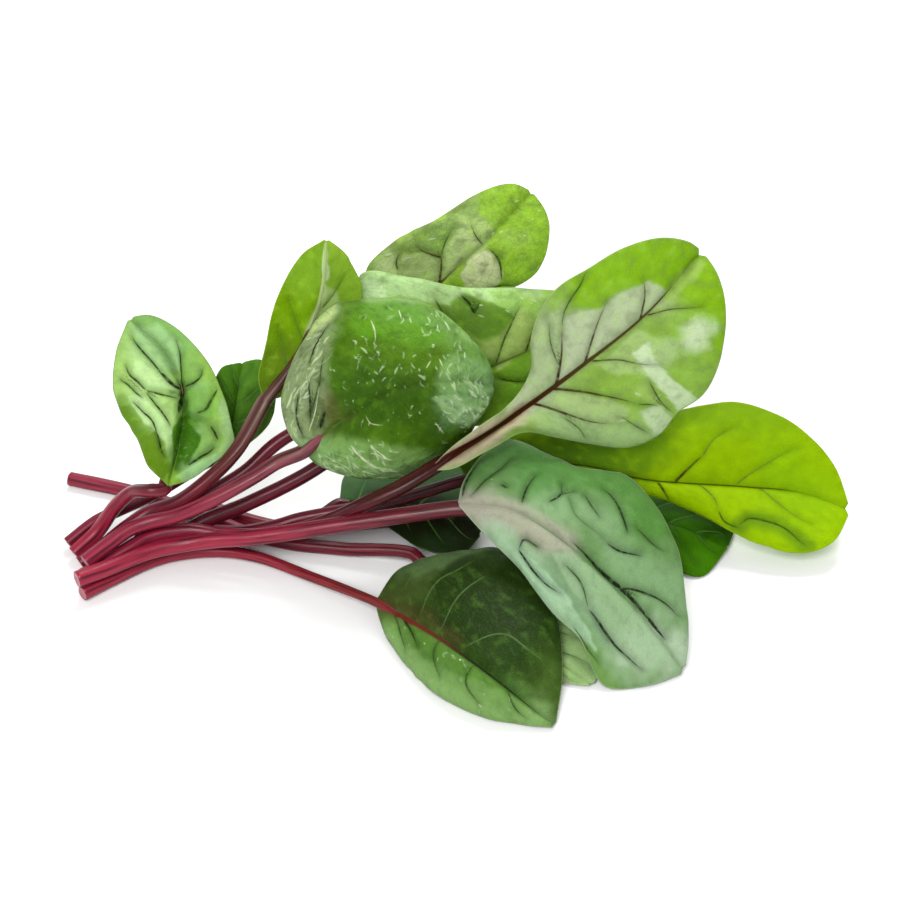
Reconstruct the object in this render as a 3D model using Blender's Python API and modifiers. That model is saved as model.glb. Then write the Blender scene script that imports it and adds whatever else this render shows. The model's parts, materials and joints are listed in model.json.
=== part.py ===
"""A small bunch of young sorrel leaves with red stalks, lying on a flat surface.

Every leaf is two bodies: the green blade, and the red stalk that runs on as the
midrib under the blade. The points below are in millimetres, with Z = 0 on the
surface, and the finished bunch is moved so that its origin is the bottom centre
of its bounding box.
"""

import bmesh
import bpy
import numpy as np

# Driving dimensions in millimetres: the blades' thickness, the gap between a blade
# and the rib under it, the rib's radius at its tip, the half width over which the
# relief of a narrow blade fades, and the block that stands for the surface.
BLADE_THICKNESS = 0.7
RIB_GAP = 0.5
RIB_TIP = 0.4
FULL_RELIEF_WIDTH = 8.0
SURFACE_BLOCK = 400.0
ORIGIN = (-1.2, -10.5)
MILLIMETRE = 0.001
MERGE_DISTANCE = 0.00001

# Shares of a blade's length: how much of it the blade and the rib take up. Shares
# of its half width: the midrib's groove, how far the side veins lean towards the
# tip, and the places where the rib's clearance is measured.
BLADE_REACH = (0.02, 0.985)
RIB_REACH = (0.01, 0.85)
MIDRIB_WIDTH = 0.12
VEIN_SLANT = 0.25
RIB_SIDES = (-0.25, 0.0, 0.25)

# Relief: depth of the side veins as a share of the midrib's, the steepness of the
# margin's waves and how many half waves it has.
SIDE_VEIN_DEPTH = 0.6
EDGE_POWER = 4
EDGE_HALF_WAVES = 5

# The rib starts at this share of the stalk's radius, thins with this power, and is
# cleared from blades that fall away from it up to this steepness.
RIB_START = 0.9
RIB_TAPER = 0.8
STEEPEST_FALL = 0.9

# How finely lines are sampled and stalks are divided.
RAIL_SAMPLES = 241
STALK_SAMPLES = 500
SPAN_SAMPLES = 24
STALK_POINTS = 17
RIB_POINTS = 8
STALK_SIDES_LEVEL = 2

# The two kinds of body: linear red, green and blue, and roughness.
BLADE_COLOUR = (0.12, 0.30, 0.05, 1.0)
STALK_COLOUR = (0.27, 0.02, 0.06, 1.0)
BLADE_ROUGHNESS = 0.45
STALK_ROUGHNESS = 0.35
COLLECTION = "sorrel_bunch"

# One entry for each leaf. petiole runs from the cut end to the blade, midrib from
# the base of the blade to its tip, and left and right are its margins, seen from
# above with the tip pointing away. radius is the stalk's at the cut and at the
# blade, bulge how far the left and the right half rise between midrib and margin
# at the base, middle and tip, and edge the waviness of each margin. relief is the
# depth of the midrib's groove, veins the number of side veins in each half, and
# grid the steps along and across the blade.
LEAVES = {
    "front": {
        "petiole": [(-89.5, -28.5, 1.9), (-83.5, -23.5, 1.6), (-74.5, -17, 1.55),
                    (-68, -14.3, 1.55), (-58, -13.3, 1.6), (-49, -15.5, 2), (-35.5, -22.5, 2)],
        "midrib": [(-19.5, -34.5, 5), (-6.5, -48, 8), (7.5, -62, 8), (22, -71.5, 1)],
        "left": [(-13.5, -25.5, 7), (-2, -22.5, 10), (10, -22.5, 11), (18, -31.5, 10),
                 (23, -43, 9), (24, -55.5, 5)],
        "right": [(-17.5, -40.5, 1.5), (-12, -51, 0.5), (-5, -60.5, 0.5), (5, -67.5, 0.5),
                  (14, -70, 0.5)],
        "radius": (1.7, 1.0), "bulge": ((0, 2, 0), (0, 3, 1)), "edge": (0.6, 0),
        "relief": 0.5, "veins": 4, "grid": (17, 8),
    },
    "front_right": {
        "petiole": [(-90.5, -28, 6), (-83.5, -23.9, 6), (-74, -18.5, 6.4), (-65, -16.4, 7),
                    (-57.5, -16.7, 8.5), (-50, -17.7, 10), (-41, -18.2, 12), (-30.5, -18.6, 14.5),
                    (-13.5, -18.7, 18)],
        "midrib": [(0, -19, 22), (12.5, -23.5, 24), (23.5, -32, 23), (37, -41, 15),
                   (47, -49.5, 7), (52.5, -54, 1)],
        "left": [(1.5, -11.5, 23), (6, -3.5, 24), (13, 1, 25), (21, -3.5, 25), (29, -10.5, 26),
                 (39, -11.5, 25), (46, -17.5, 22), (51.5, -27, 16), (53, -37, 11), (53.5, -47, 6)],
        "right": [(5.5, -25, 19), (14, -33.5, 15), (22.5, -44.5, 10), (28, -50, 8),
                  (33.5, -58.3, 1), (43, -58, 0.6)],
        "radius": (2.0, 1.9), "bulge": ((0, 2, 0), (0, 2, 0)), "edge": (0, 0),
        "relief": 0.7, "veins": 4, "grid": (19, 8),
    },
    "great": {
        "petiole": [(-90, -22.5, 2), (-84, -19.5, 4), (-79, -16.6, 5.6), (-74.5, -13.8, 6.6),
                    (-65, -11.8, 7.1), (-58, -12.6, 6.6), (-50.5, -13.6, 6.9), (-41, -14.4, 8.8),
                    (-30.5, -14.6, 13), (-22, -15, 18.6), (-14, -14, 22.6)],
        "midrib": [(-7, -11.5, 26), (4, -6, 30.5), (15, 1, 34), (30.5, 8, 43), (45, 15.5, 52),
                   (59, 29, 61)],
        "left": [(-1, -7.5, 30.5), (8, -4, 36), (13.5, 2.5, 36.5), (17.5, 8.5, 40.5), (17.5, 13, 46),
                 (19.5, 17.5, 51), (24, 21, 56), (31, 23, 60), (39.5, 26, 64), (48.5, 27.5, 66),
                 (55, 27.5, 65)],
        "right": [(-1, -12, 27), (7, -8.5, 29.5), (16, -4, 31.5), (24, -3.5, 29.5), (32.5, -3, 27),
                  (41, -3, 26), (48.5, -0.5, 28), (53, 3, 32), (59, 6, 35), (63, 10.5, 42),
                  (64.5, 18.5, 51), (62.5, 23.5, 58)],
        "radius": (1.9, 1.8), "bulge": ((0, 1, 0), (0, 4, 0)), "edge": (0, 0),
        "relief": 0.5, "veins": 4, "grid": (21, 8),
    },
    "bright": {
        "petiole": [(-79, -7.8, 2), (-72, -6.2, 2), (-66, -5.2, 2), (-60, -6.8, 2.4),
                    (-52, -9.4, 4.6), (-44, -10.6, 7.5), (-38, -10, 9.3), (-16.5, -8, 13),
                    (-6, -5.5, 14.8)],
        "midrib": [(2, -3, 16.2), (14, 0.5, 17.5), (30, 0.5, 17.5), (44.5, -3, 16), (69, -1, 12),
                   (84, -1, 10), (96, -5.5, 8)],
        "left": [(0, 4.5, 17), (4.5, 10, 18.3), (12, 13.5, 19.5), (20, 13.5, 20.5), (27, 12, 21),
                 (36, 11.5, 22), (46, 12.5, 23), (57, 14.5, 24), (68.5, 17, 24), (77.5, 15.5, 22),
                 (85.5, 11.5, 19), (92.5, 4.5, 14)],
        "right": [(10, -3.5, 16), (23, -2.5, 15.5), (33, -2.5, 14.5), (47, -3, 11), (56.5, -6.5, 9),
                  (65, -12, 8), (73, -15.5, 6), (82.5, -17.5, 5), (90.5, -15, 6)],
        "radius": (1.8, 1.4), "bulge": ((0, 2, 0), (0, 2, 0)), "edge": (0, 0),
        "relief": 0.5, "veins": 4, "grid": (20, 8),
    },
    "centre": {
        "petiole": [(-89, -22.5, 6.5), (-84, -18.4, 8.3), (-79, -15, 10.2), (-74.5, -13.4, 11.1),
                    (-68, -13, 12.8), (-59.5, -12.5, 17), (-49.5, -10, 22), (-43, -7.2, 25)],
        "midrib": [(-36.5, -8, 29), (-26.5, -9.5, 40), (-13.5, -9, 49), (-0.5, -6, 49),
                   (9, 0.5, 42)],
        "left": [(-40, -4.5, 31.5), (-42, -0.5, 37), (-40, 4, 44), (-36, 9, 50.5), (-30.5, 14.5, 55),
                 (-22.5, 16, 56), (-9, 15.5, 56), (1.5, 8, 53), (7.5, 2.5, 47)],
        "right": [(-33, -6.5, 23), (-26.5, -7, 20.5), (-18.5, -6.5, 19), (-9.5, -4.5, 19.5),
                  (1, 0, 25.5), (7, -2, 37.5)],
        "radius": (1.8, 1.7), "bulge": ((0, 3, 0), (0, 4.5, 0)), "edge": (0, 0),
        "relief": 0.8, "veins": 4, "grid": (17, 8),
    },
    "upright": {
        "petiole": [(-91, -18.2, 2), (-86.5, -15.3, 4), (-80, -11.2, 7.5), (-75, -8.8, 10),
                    (-67, -8.6, 13.8), (-59.5, -6, 19), (-53, -2.5, 25)],
        "midrib": [(-46.5, 6, 33), (-40, 10, 40), (-35, 14.5, 48), (-32, 17.5, 59),
                   (-31, 21.5, 70)],
        "left": [(-48, 9, 37.5), (-46.5, 13, 43), (-44, 17, 53), (-41, 19.5, 59.5), (-37, 22, 65)],
        "right": [(-37.5, 10, 33.5), (-30, 16, 39), (-25, 21.5, 45), (-23, 23.5, 53),
                  (-25, 24, 60), (-27, 23, 65)],
        "radius": (2.0, 1.6), "bulge": ((0, -1, 0), (0, -1, 0)), "edge": (0, 0),
        "relief": 0.5, "veins": 3, "grid": (14, 8),
    },
    "left": {
        "petiole": [(-93, -14.5, 2), (-87.5, -10.1, 5.3), (-83, -8, 11.4), (-78.5, -8.3, 16.4),
                    (-73.5, -11.5, 19.7)],
        "midrib": [(-69, -11.5, 21), (-67, 1, 25), (-66.5, 10, 32), (-71, 17.5, 39),
                   (-79.5, 21, 47)],
        "left": [(-73.5, -10, 26), (-77, -3.5, 30), (-81, 2.5, 33), (-83, 8, 36), (-82.5, 16, 41)],
        "right": [(-64.5, -8, 20), (-59, -4.5, 22), (-54, 0, 24), (-54.5, 3, 28), (-57, 9, 34),
                  (-61.5, 15, 40), (-68, 20.5, 44), (-74.5, 22, 47)],
        "radius": (1.9, 1.6), "bulge": ((0, 2, 0), (0, 2, 0)), "edge": (0, 0),
        "relief": 0.5, "veins": 3, "grid": (14, 8),
    },
    "small_dark": {
        "petiole": [(-95, -10.8, 2), (-88.5, -6, 4.8), (-82, -2.5, 6), (-75, -0.5, 8.5),
                    (-68, 1, 12.5), (-62, 2.5, 16)],
        "midrib": [(-57.5, 3.5, 18), (-55, 10, 24), (-52.5, 17.5, 36)],
        "left": [(-60, 7.5, 23), (-60, 12, 30), (-57.5, 16.5, 35)],
        "right": [(-51, 7, 19), (-45.5, 10, 24), (-44.5, 13.5, 31), (-47.5, 17, 37)],
        "radius": (1.6, 1.3), "bulge": ((0, 1, 0), (0, 1, 0)), "edge": (0, 0),
        "relief": 0.3, "veins": 3, "grid": (10, 6),
    },
    "middle": {
        "petiole": [(-78, -11.9, 2), (-71, -10.7, 2.6), (-61.5, -7.7, 6.6), (-50.5, -6, 11),
                    (-35.5, -2.5, 18), (-24, 2.5, 25)],
        "midrib": [(-15, 8, 32), (2, 12, 36), (20, 19, 40), (35, 30, 42)],
        "left": [(-21, 16, 39), (-23.5, 25, 45), (-23.5, 33.5, 51), (-11, 30.5, 52),
                 (1, 26.5, 52), (17, 31.5, 48), (29, 34, 44)],
        "right": [(-6, 3, 29), (10, 4, 28), (25, 13, 31), (35, 21, 37)],
        "radius": (1.9, 1.7), "bulge": ((0, 2, 0), (0, 2, 0)), "edge": (0, 0),
        "relief": 0.5, "veins": 4, "grid": (15, 8),
    },
    "top": {
        "petiole": [(-74, -9.2, 6.3), (-71.5, -8.3, 6.6), (-61.5, -3.5, 11), (-52, 0, 15.5),
                    (-44, 4.5, 21), (-34, 8.5, 25.5), (-22.5, 11.5, 32)],
        "midrib": [(-10.5, 27, 44), (-2, 33, 51), (8, 39, 58), (18.5, 50, 64)],
        "left": [(-18, 31, 45), (-22.5, 35.5, 50), (-16, 39.5, 56), (-4.5, 44.5, 60),
                 (6.5, 49, 65), (13.5, 50.5, 66)],
        "right": [(-2, 34, 41), (10.5, 35, 44), (19.5, 35.5, 50), (22.5, 40.5, 56),
                  (22, 46.5, 60)],
        "radius": (1.8, 1.5), "bulge": ((0, 1, 0), (0, 1, 0)), "edge": (0, 0),
        "relief": 0.5, "veins": 3, "grid": (14, 8),
    },
    "shaded": {
        "petiole": [(-97.5, 14, 1.55), (-80.5, 8.5, 1.55), (-63.5, 0, 1.6), (-44.5, -9.5, 1.7),
                    (-28.5, -12.5, 1.8)],
        "midrib": [(-11, -16, 4), (3, -29.5, 4), (18, -48, 4), (31, -58.5, 1.2)],
        "left": [(-2, -21, 3.5), (15, -30, 5), (29.5, -41, 3.5), (33.5, -51, 1.8)],
        "right": [(-6.5, -24.5, 2.5), (4, -40, 2.5), (15.5, -51.5, 1), (25, -57, 0.6)],
        "radius": (1.8, 1.5), "bulge": ((0, 1, 0), (0, 1, 0)), "edge": (0, 0),
        "relief": 0.3, "veins": 3, "grid": (12, 6),
    },
    "low_right": {
        "petiole": [(-62, 3.4, 1.9), (-55, -0.4, 1.9), (-46, -4, 1.9), (-38, -5.3, 1.9),
                    (-20, -3, 1.9), (0, 0, 1.9), (10.5, 3, 1.9)],
        "midrib": [(35.5, 2.5, 4.5), (45, -2.5, 4.5), (57, -8, 4), (66, -12, 2)],
        "left": [(45.5, 9, 2), (60, 8, 0.5), (68, -2, 1)],
        "right": [(41, -6, 2), (49, -16, 1), (58.5, -21, 0.5)],
        "radius": (1.6, 1.4), "bulge": ((0, 1, 0), (0, 1, 0)), "edge": (0, 0),
        "relief": 0.3, "veins": 3, "grid": (12, 6),
    },
    "low_centre": {
        "petiole": [(-47, -7, 4.3), (-43.5, -7.4, 4.3), (-38, -7.4, 5.2), (-33, -5.5, 7)],
        "midrib": [(-29, -2.5, 8.3), (-18.4, -2.4, 9), (-5.6, -6.9, 9.5), (5.9, -11.9, 6)],
        "left": [(-27, 14, 4), (-14, 22, 1), (2, 19, 3)],
        "right": [(-25, -5, 6), (-18.4, -6.5, 4.5), (-7.4, -17, 5.2), (1.3, -17.5, 5)],
        "radius": (1.5, 1.1), "bulge": ((0, 1, 0), (0, 1, 0)), "edge": (0, 0),
        "relief": 0.3, "veins": 3, "grid": (12, 6),
    },
}

# Leaves whose stalks lie on the surface and are pressed flat where they touch it.
RESTING_STALKS = ("front", "shaded")


def unit(vectors):
    """The vectors at length one."""
    return vectors / np.linalg.norm(vectors, axis=-1, keepdims=True)


def smooth_line(points, count):
    """A smooth curve through the points, as count points evenly spaced along it."""
    p = np.asarray(points, float)
    p = np.vstack([2 * p[0] - p[1], p, 2 * p[-1] - p[-2]])
    chords = np.sqrt(np.linalg.norm(np.diff(p, axis=0), axis=1))
    knots = np.concatenate([[0.0], np.cumsum(chords)])
    fine = []
    for i in range(1, len(p) - 2):
        k0, k1, k2, k3 = knots[i - 1:i + 3]
        k = np.linspace(k1, k2, SPAN_SAMPLES, endpoint=False)[:, None]
        a = (k1 - k) / (k1 - k0) * p[i - 1] + (k - k0) / (k1 - k0) * p[i]
        b = (k2 - k) / (k2 - k1) * p[i] + (k - k1) / (k2 - k1) * p[i + 1]
        c = (k3 - k) / (k3 - k2) * p[i + 1] + (k - k2) / (k3 - k2) * p[i + 2]
        early = (k2 - k) / (k2 - k0) * a + (k - k0) / (k2 - k0) * b
        late = (k3 - k) / (k3 - k1) * b + (k - k1) / (k3 - k1) * c
        fine.append((k2 - k) / (k2 - k1) * early + (k - k1) / (k2 - k1) * late)
    fine = np.vstack(fine + [p[-2:-1]])
    return evenly(fine, count)


def evenly(line, count):
    """The same line as count points, evenly spaced along it."""
    steps = np.linalg.norm(np.diff(line, axis=0), axis=1)
    along = np.concatenate([[0.0], np.cumsum(steps)])
    return sample(line, along / along[-1], np.linspace(0.0, 1.0, count))


def sample(line, shares, t):
    """Points at t on a line whose points lie at the given shares."""
    return np.stack([np.interp(t, shares, line[:, k]) for k in range(3)], axis=1)


def through(values, t):
    """Smooth value at t through the values at the base, middle and tip."""
    base, middle, tip = values
    return base * (1 - t) * (1 - 2 * t) + middle * 4 * t * (1 - t) + tip * t * (2 * t - 1)


def rails(leaf, t):
    """Points at t on the midrib and both margins, and the midrib's direction."""
    base, tip = leaf["midrib"][0], leaf["midrib"][-1]
    shares = np.linspace(0.0, 1.0, RAIL_SAMPLES)
    middle = smooth_line(leaf["midrib"], RAIL_SAMPLES)
    left = smooth_line([base] + leaf["left"] + [tip], RAIL_SAMPLES)
    right = smooth_line([base] + leaf["right"] + [tip], RAIL_SAMPLES)
    along = np.gradient(middle, axis=0)
    return [sample(line, shares, t) for line in (middle, left, right, along)]


def blade_surface(leaf, t, v):
    """Middle surface of the blade: t from base to tip, v from left -1 to right 1."""
    middle, left, right, along = rails(leaf, t)
    a = np.abs(v)
    on_left = v < 0
    margin = np.where(on_left[:, None], left, right)
    up_left = unit(np.cross(middle - left, along))
    up_right = unit(np.cross(right - middle, along))
    up_side = np.where(on_left[:, None], up_left, up_right)
    up = up_side * a[:, None] + unit(up_left + up_right) * (1 - a[:, None])
    ends = np.sqrt(np.sin(np.pi * t))
    bulge_left, bulge_right = leaf["bulge"]
    bulge = np.where(on_left, through(bulge_left, t), through(bulge_right, t))
    edge = np.where(on_left, *leaf["edge"])
    width = np.linalg.norm(margin - middle, axis=1)
    relief = leaf["relief"] * np.minimum(1.0, width / FULL_RELIEF_WIDTH)
    side_vein = np.cos(2 * np.pi * leaf["veins"] * (t - VEIN_SLANT * a))
    rise = bulge * 4 * a * (1 - a) * ends
    rise = rise + edge * a ** EDGE_POWER * ends * np.sin(EDGE_HALF_WAVES * np.pi * t)
    rise = rise - relief * np.exp(-(a / MIDRIB_WIDTH) ** 2)
    rise = rise - SIDE_VEIN_DEPTH * relief * side_vein * np.sin(np.pi * a) * ends
    return middle + (margin - middle) * a[:, None] + up * rise[:, None]


def stalk_line(leaf):
    """Points and radii of the stalk, from its cut end to its end under the blade."""
    t = np.linspace(*RIB_REACH, RIB_POINTS)
    left, middle, right = [blade_surface(leaf, t, np.full(RIB_POINTS, v)) for v in RIB_SIDES]
    down = -unit(np.cross(right - left, rails(leaf, t)[3]))
    cut_radius, base_radius = leaf["radius"]
    rib_radius = RIB_START * base_radius * (1 - t) ** RIB_TAPER + RIB_TIP
    rib_radius = np.minimum(rib_radius, base_radius)
    falls = [np.sum(unit(side - middle) * down, axis=1) for side in (left, right)]
    steepest = np.clip(np.maximum(*falls), 0.0, STEEPEST_FALL)
    clear = BLADE_THICKNESS / 2 + RIB_GAP + rib_radius
    drop = clear / np.sqrt(1 - steepest ** 2)
    rib = middle + down * drop[:, None]
    whole = smooth_line(leaf["petiole"] + [tuple(rib[0]), tuple(rib[1])], STALK_SAMPLES)
    meets = np.argmin(np.linalg.norm(whole - rib[0], axis=1))
    petiole = evenly(whole[:meets + 1], STALK_POINTS)
    radius = np.linspace(cut_radius, base_radius, STALK_POINTS)
    line = np.vstack([petiole[:-1], rib])
    return line, np.concatenate([radius[:-1], rib_radius])


def to_metres(points):
    """Design points in millimetres as metres about the part's origin."""
    return (np.asarray(points) - (*ORIGIN, 0.0)) * MILLIMETRE


def make_material(name, colour, roughness):
    """A plain Principled material."""
    material = bpy.data.materials.new(name)
    material.use_nodes = True
    shader = material.node_tree.nodes["Principled BSDF"]
    shader.inputs["Base Color"].default_value = colour
    shader.inputs["Roughness"].default_value = roughness
    shader.inputs["Metallic"].default_value = 0.0
    return material


def add_object(name, data, collection):
    """A new object in the collection."""
    thing = bpy.data.objects.new(name, data)
    collection.objects.link(thing)
    return thing


def make_blade(name, leaf, collection):
    """A grid moved onto the blade's surface and thickened."""
    rows, columns = leaf["grid"]
    shape = bmesh.new()
    bmesh.ops.create_grid(shape, x_segments=columns, y_segments=rows, size=1.0)
    flat = np.array([vertex.co for vertex in shape.verts])
    start, end = BLADE_REACH
    t = start + (end - start) * (flat[:, 1] + 1) / 2
    points = to_metres(blade_surface(leaf, t, flat[:, 0]))
    for vertex, point in zip(shape.verts, points):
        vertex.co = point
    bmesh.ops.triangulate(shape, faces=shape.faces)
    mesh = bpy.data.meshes.new(name)
    shape.to_mesh(mesh)
    shape.free()
    mesh.shade_smooth()
    blade = add_object(name, mesh, collection)
    thicken = blade.modifiers.new("Thickness", "SOLIDIFY")
    thicken.thickness = BLADE_THICKNESS * MILLIMETRE
    thicken.offset = 0.0
    mesh.materials.append(make_material(name, BLADE_COLOUR, BLADE_ROUGHNESS))
    return blade


def make_stalk(name, leaf, collection):
    """A round tapering stalk along its route."""
    line, radius = stalk_line(leaf)
    points = to_metres(line)
    curve = bpy.data.curves.new(name, "CURVE")
    curve.dimensions = "3D"
    curve.bevel_depth = MILLIMETRE
    curve.bevel_resolution = STALK_SIDES_LEVEL
    curve.use_fill_caps = True
    spline = curve.splines.new("POLY")
    spline.points.add(len(points) - 1)
    for knot, point, size in zip(spline.points, points, radius):
        knot.co = (*point, 1.0)
        knot.radius = size
    curve.materials.append(make_material(name, STALK_COLOUR, STALK_ROUGHNESS))
    return add_object(name, curve, collection)


def press_flat(stalk, collection, cutters):
    """The stalk as a mesh, with what would lie below the surface cut away."""
    bpy.context.view_layer.update()
    evaluated = stalk.evaluated_get(bpy.context.evaluated_depsgraph_get())
    mesh = bpy.data.meshes.new_from_object(evaluated)
    shape = bmesh.new()
    shape.from_mesh(mesh)
    bmesh.ops.remove_doubles(shape, verts=shape.verts, dist=MERGE_DISTANCE)
    shape.to_mesh(mesh)
    shape.free()
    name = stalk.name
    place = stalk.matrix_world.copy()
    bpy.data.objects.remove(stalk)
    mesh.shade_smooth()
    pressed = add_object(name, mesh, collection)
    pressed.matrix_world = place
    cut = pressed.modifiers.new("Surface", "BOOLEAN")
    cut.operation = "DIFFERENCE"
    cut.object = cutters.objects["surface_block"]
    return pressed


def make_surface_block(cutters):
    """A block whose top is the surface that the bunch lies on."""
    shape = bmesh.new()
    bmesh.ops.create_cube(shape, size=SURFACE_BLOCK * MILLIMETRE)
    mesh = bpy.data.meshes.new("surface_block")
    shape.to_mesh(mesh)
    shape.free()
    block = add_object("surface_block", mesh, cutters)
    block.location.z = -SURFACE_BLOCK * MILLIMETRE / 2
    block.hide_render = True
    block.display_type = "WIRE"


def main():
    for thing in list(bpy.data.objects):
        bpy.data.objects.remove(thing)
    bunch = bpy.data.collections.new(COLLECTION)
    cutters = bpy.data.collections.new("cutters")
    bpy.context.scene.collection.children.link(bunch)
    bpy.context.scene.collection.children.link(cutters)
    make_surface_block(cutters)
    for name, leaf in LEAVES.items():
        make_blade(f"{name}_blade", leaf, bunch)
        stalk = make_stalk(f"{name}_stalk", leaf, bunch)
        if name in RESTING_STALKS:
            press_flat(stalk, bunch, cutters)


main()
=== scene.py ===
"""The look of a small bunch of sorrel leaves lying on a pale floor.

Every leaf is dressed with a thin veined blade and a grooved stalk that stand for
its two CAD solids. The leaf table below has the same points, in millimetres, as
the part's source, so that each piece lies where its solids are.
"""

import json
import math
import random

import bpy
import numpy as np
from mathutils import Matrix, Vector, noise

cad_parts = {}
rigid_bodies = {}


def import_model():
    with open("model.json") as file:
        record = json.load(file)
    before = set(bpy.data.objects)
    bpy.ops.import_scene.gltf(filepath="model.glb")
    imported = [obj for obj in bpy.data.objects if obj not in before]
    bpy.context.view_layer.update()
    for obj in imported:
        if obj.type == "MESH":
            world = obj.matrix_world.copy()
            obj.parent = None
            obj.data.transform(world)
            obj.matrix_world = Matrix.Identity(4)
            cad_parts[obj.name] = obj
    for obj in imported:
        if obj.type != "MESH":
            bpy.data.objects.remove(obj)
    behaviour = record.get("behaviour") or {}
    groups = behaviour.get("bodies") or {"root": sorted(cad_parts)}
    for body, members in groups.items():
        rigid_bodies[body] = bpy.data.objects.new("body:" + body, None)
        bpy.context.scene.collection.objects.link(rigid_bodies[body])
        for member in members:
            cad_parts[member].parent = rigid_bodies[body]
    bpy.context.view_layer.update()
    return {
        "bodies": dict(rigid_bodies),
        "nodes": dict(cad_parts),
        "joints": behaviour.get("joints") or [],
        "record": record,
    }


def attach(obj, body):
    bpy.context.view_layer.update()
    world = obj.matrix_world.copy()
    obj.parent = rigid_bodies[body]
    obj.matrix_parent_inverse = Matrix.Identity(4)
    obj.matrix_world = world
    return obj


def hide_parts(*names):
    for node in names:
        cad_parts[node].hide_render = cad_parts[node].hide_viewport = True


# The frame: millimetres to metres, and the point of the design that is the origin.
MILLIMETRE = 0.001
ORIGIN = (-1.2, -10.5)

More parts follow.
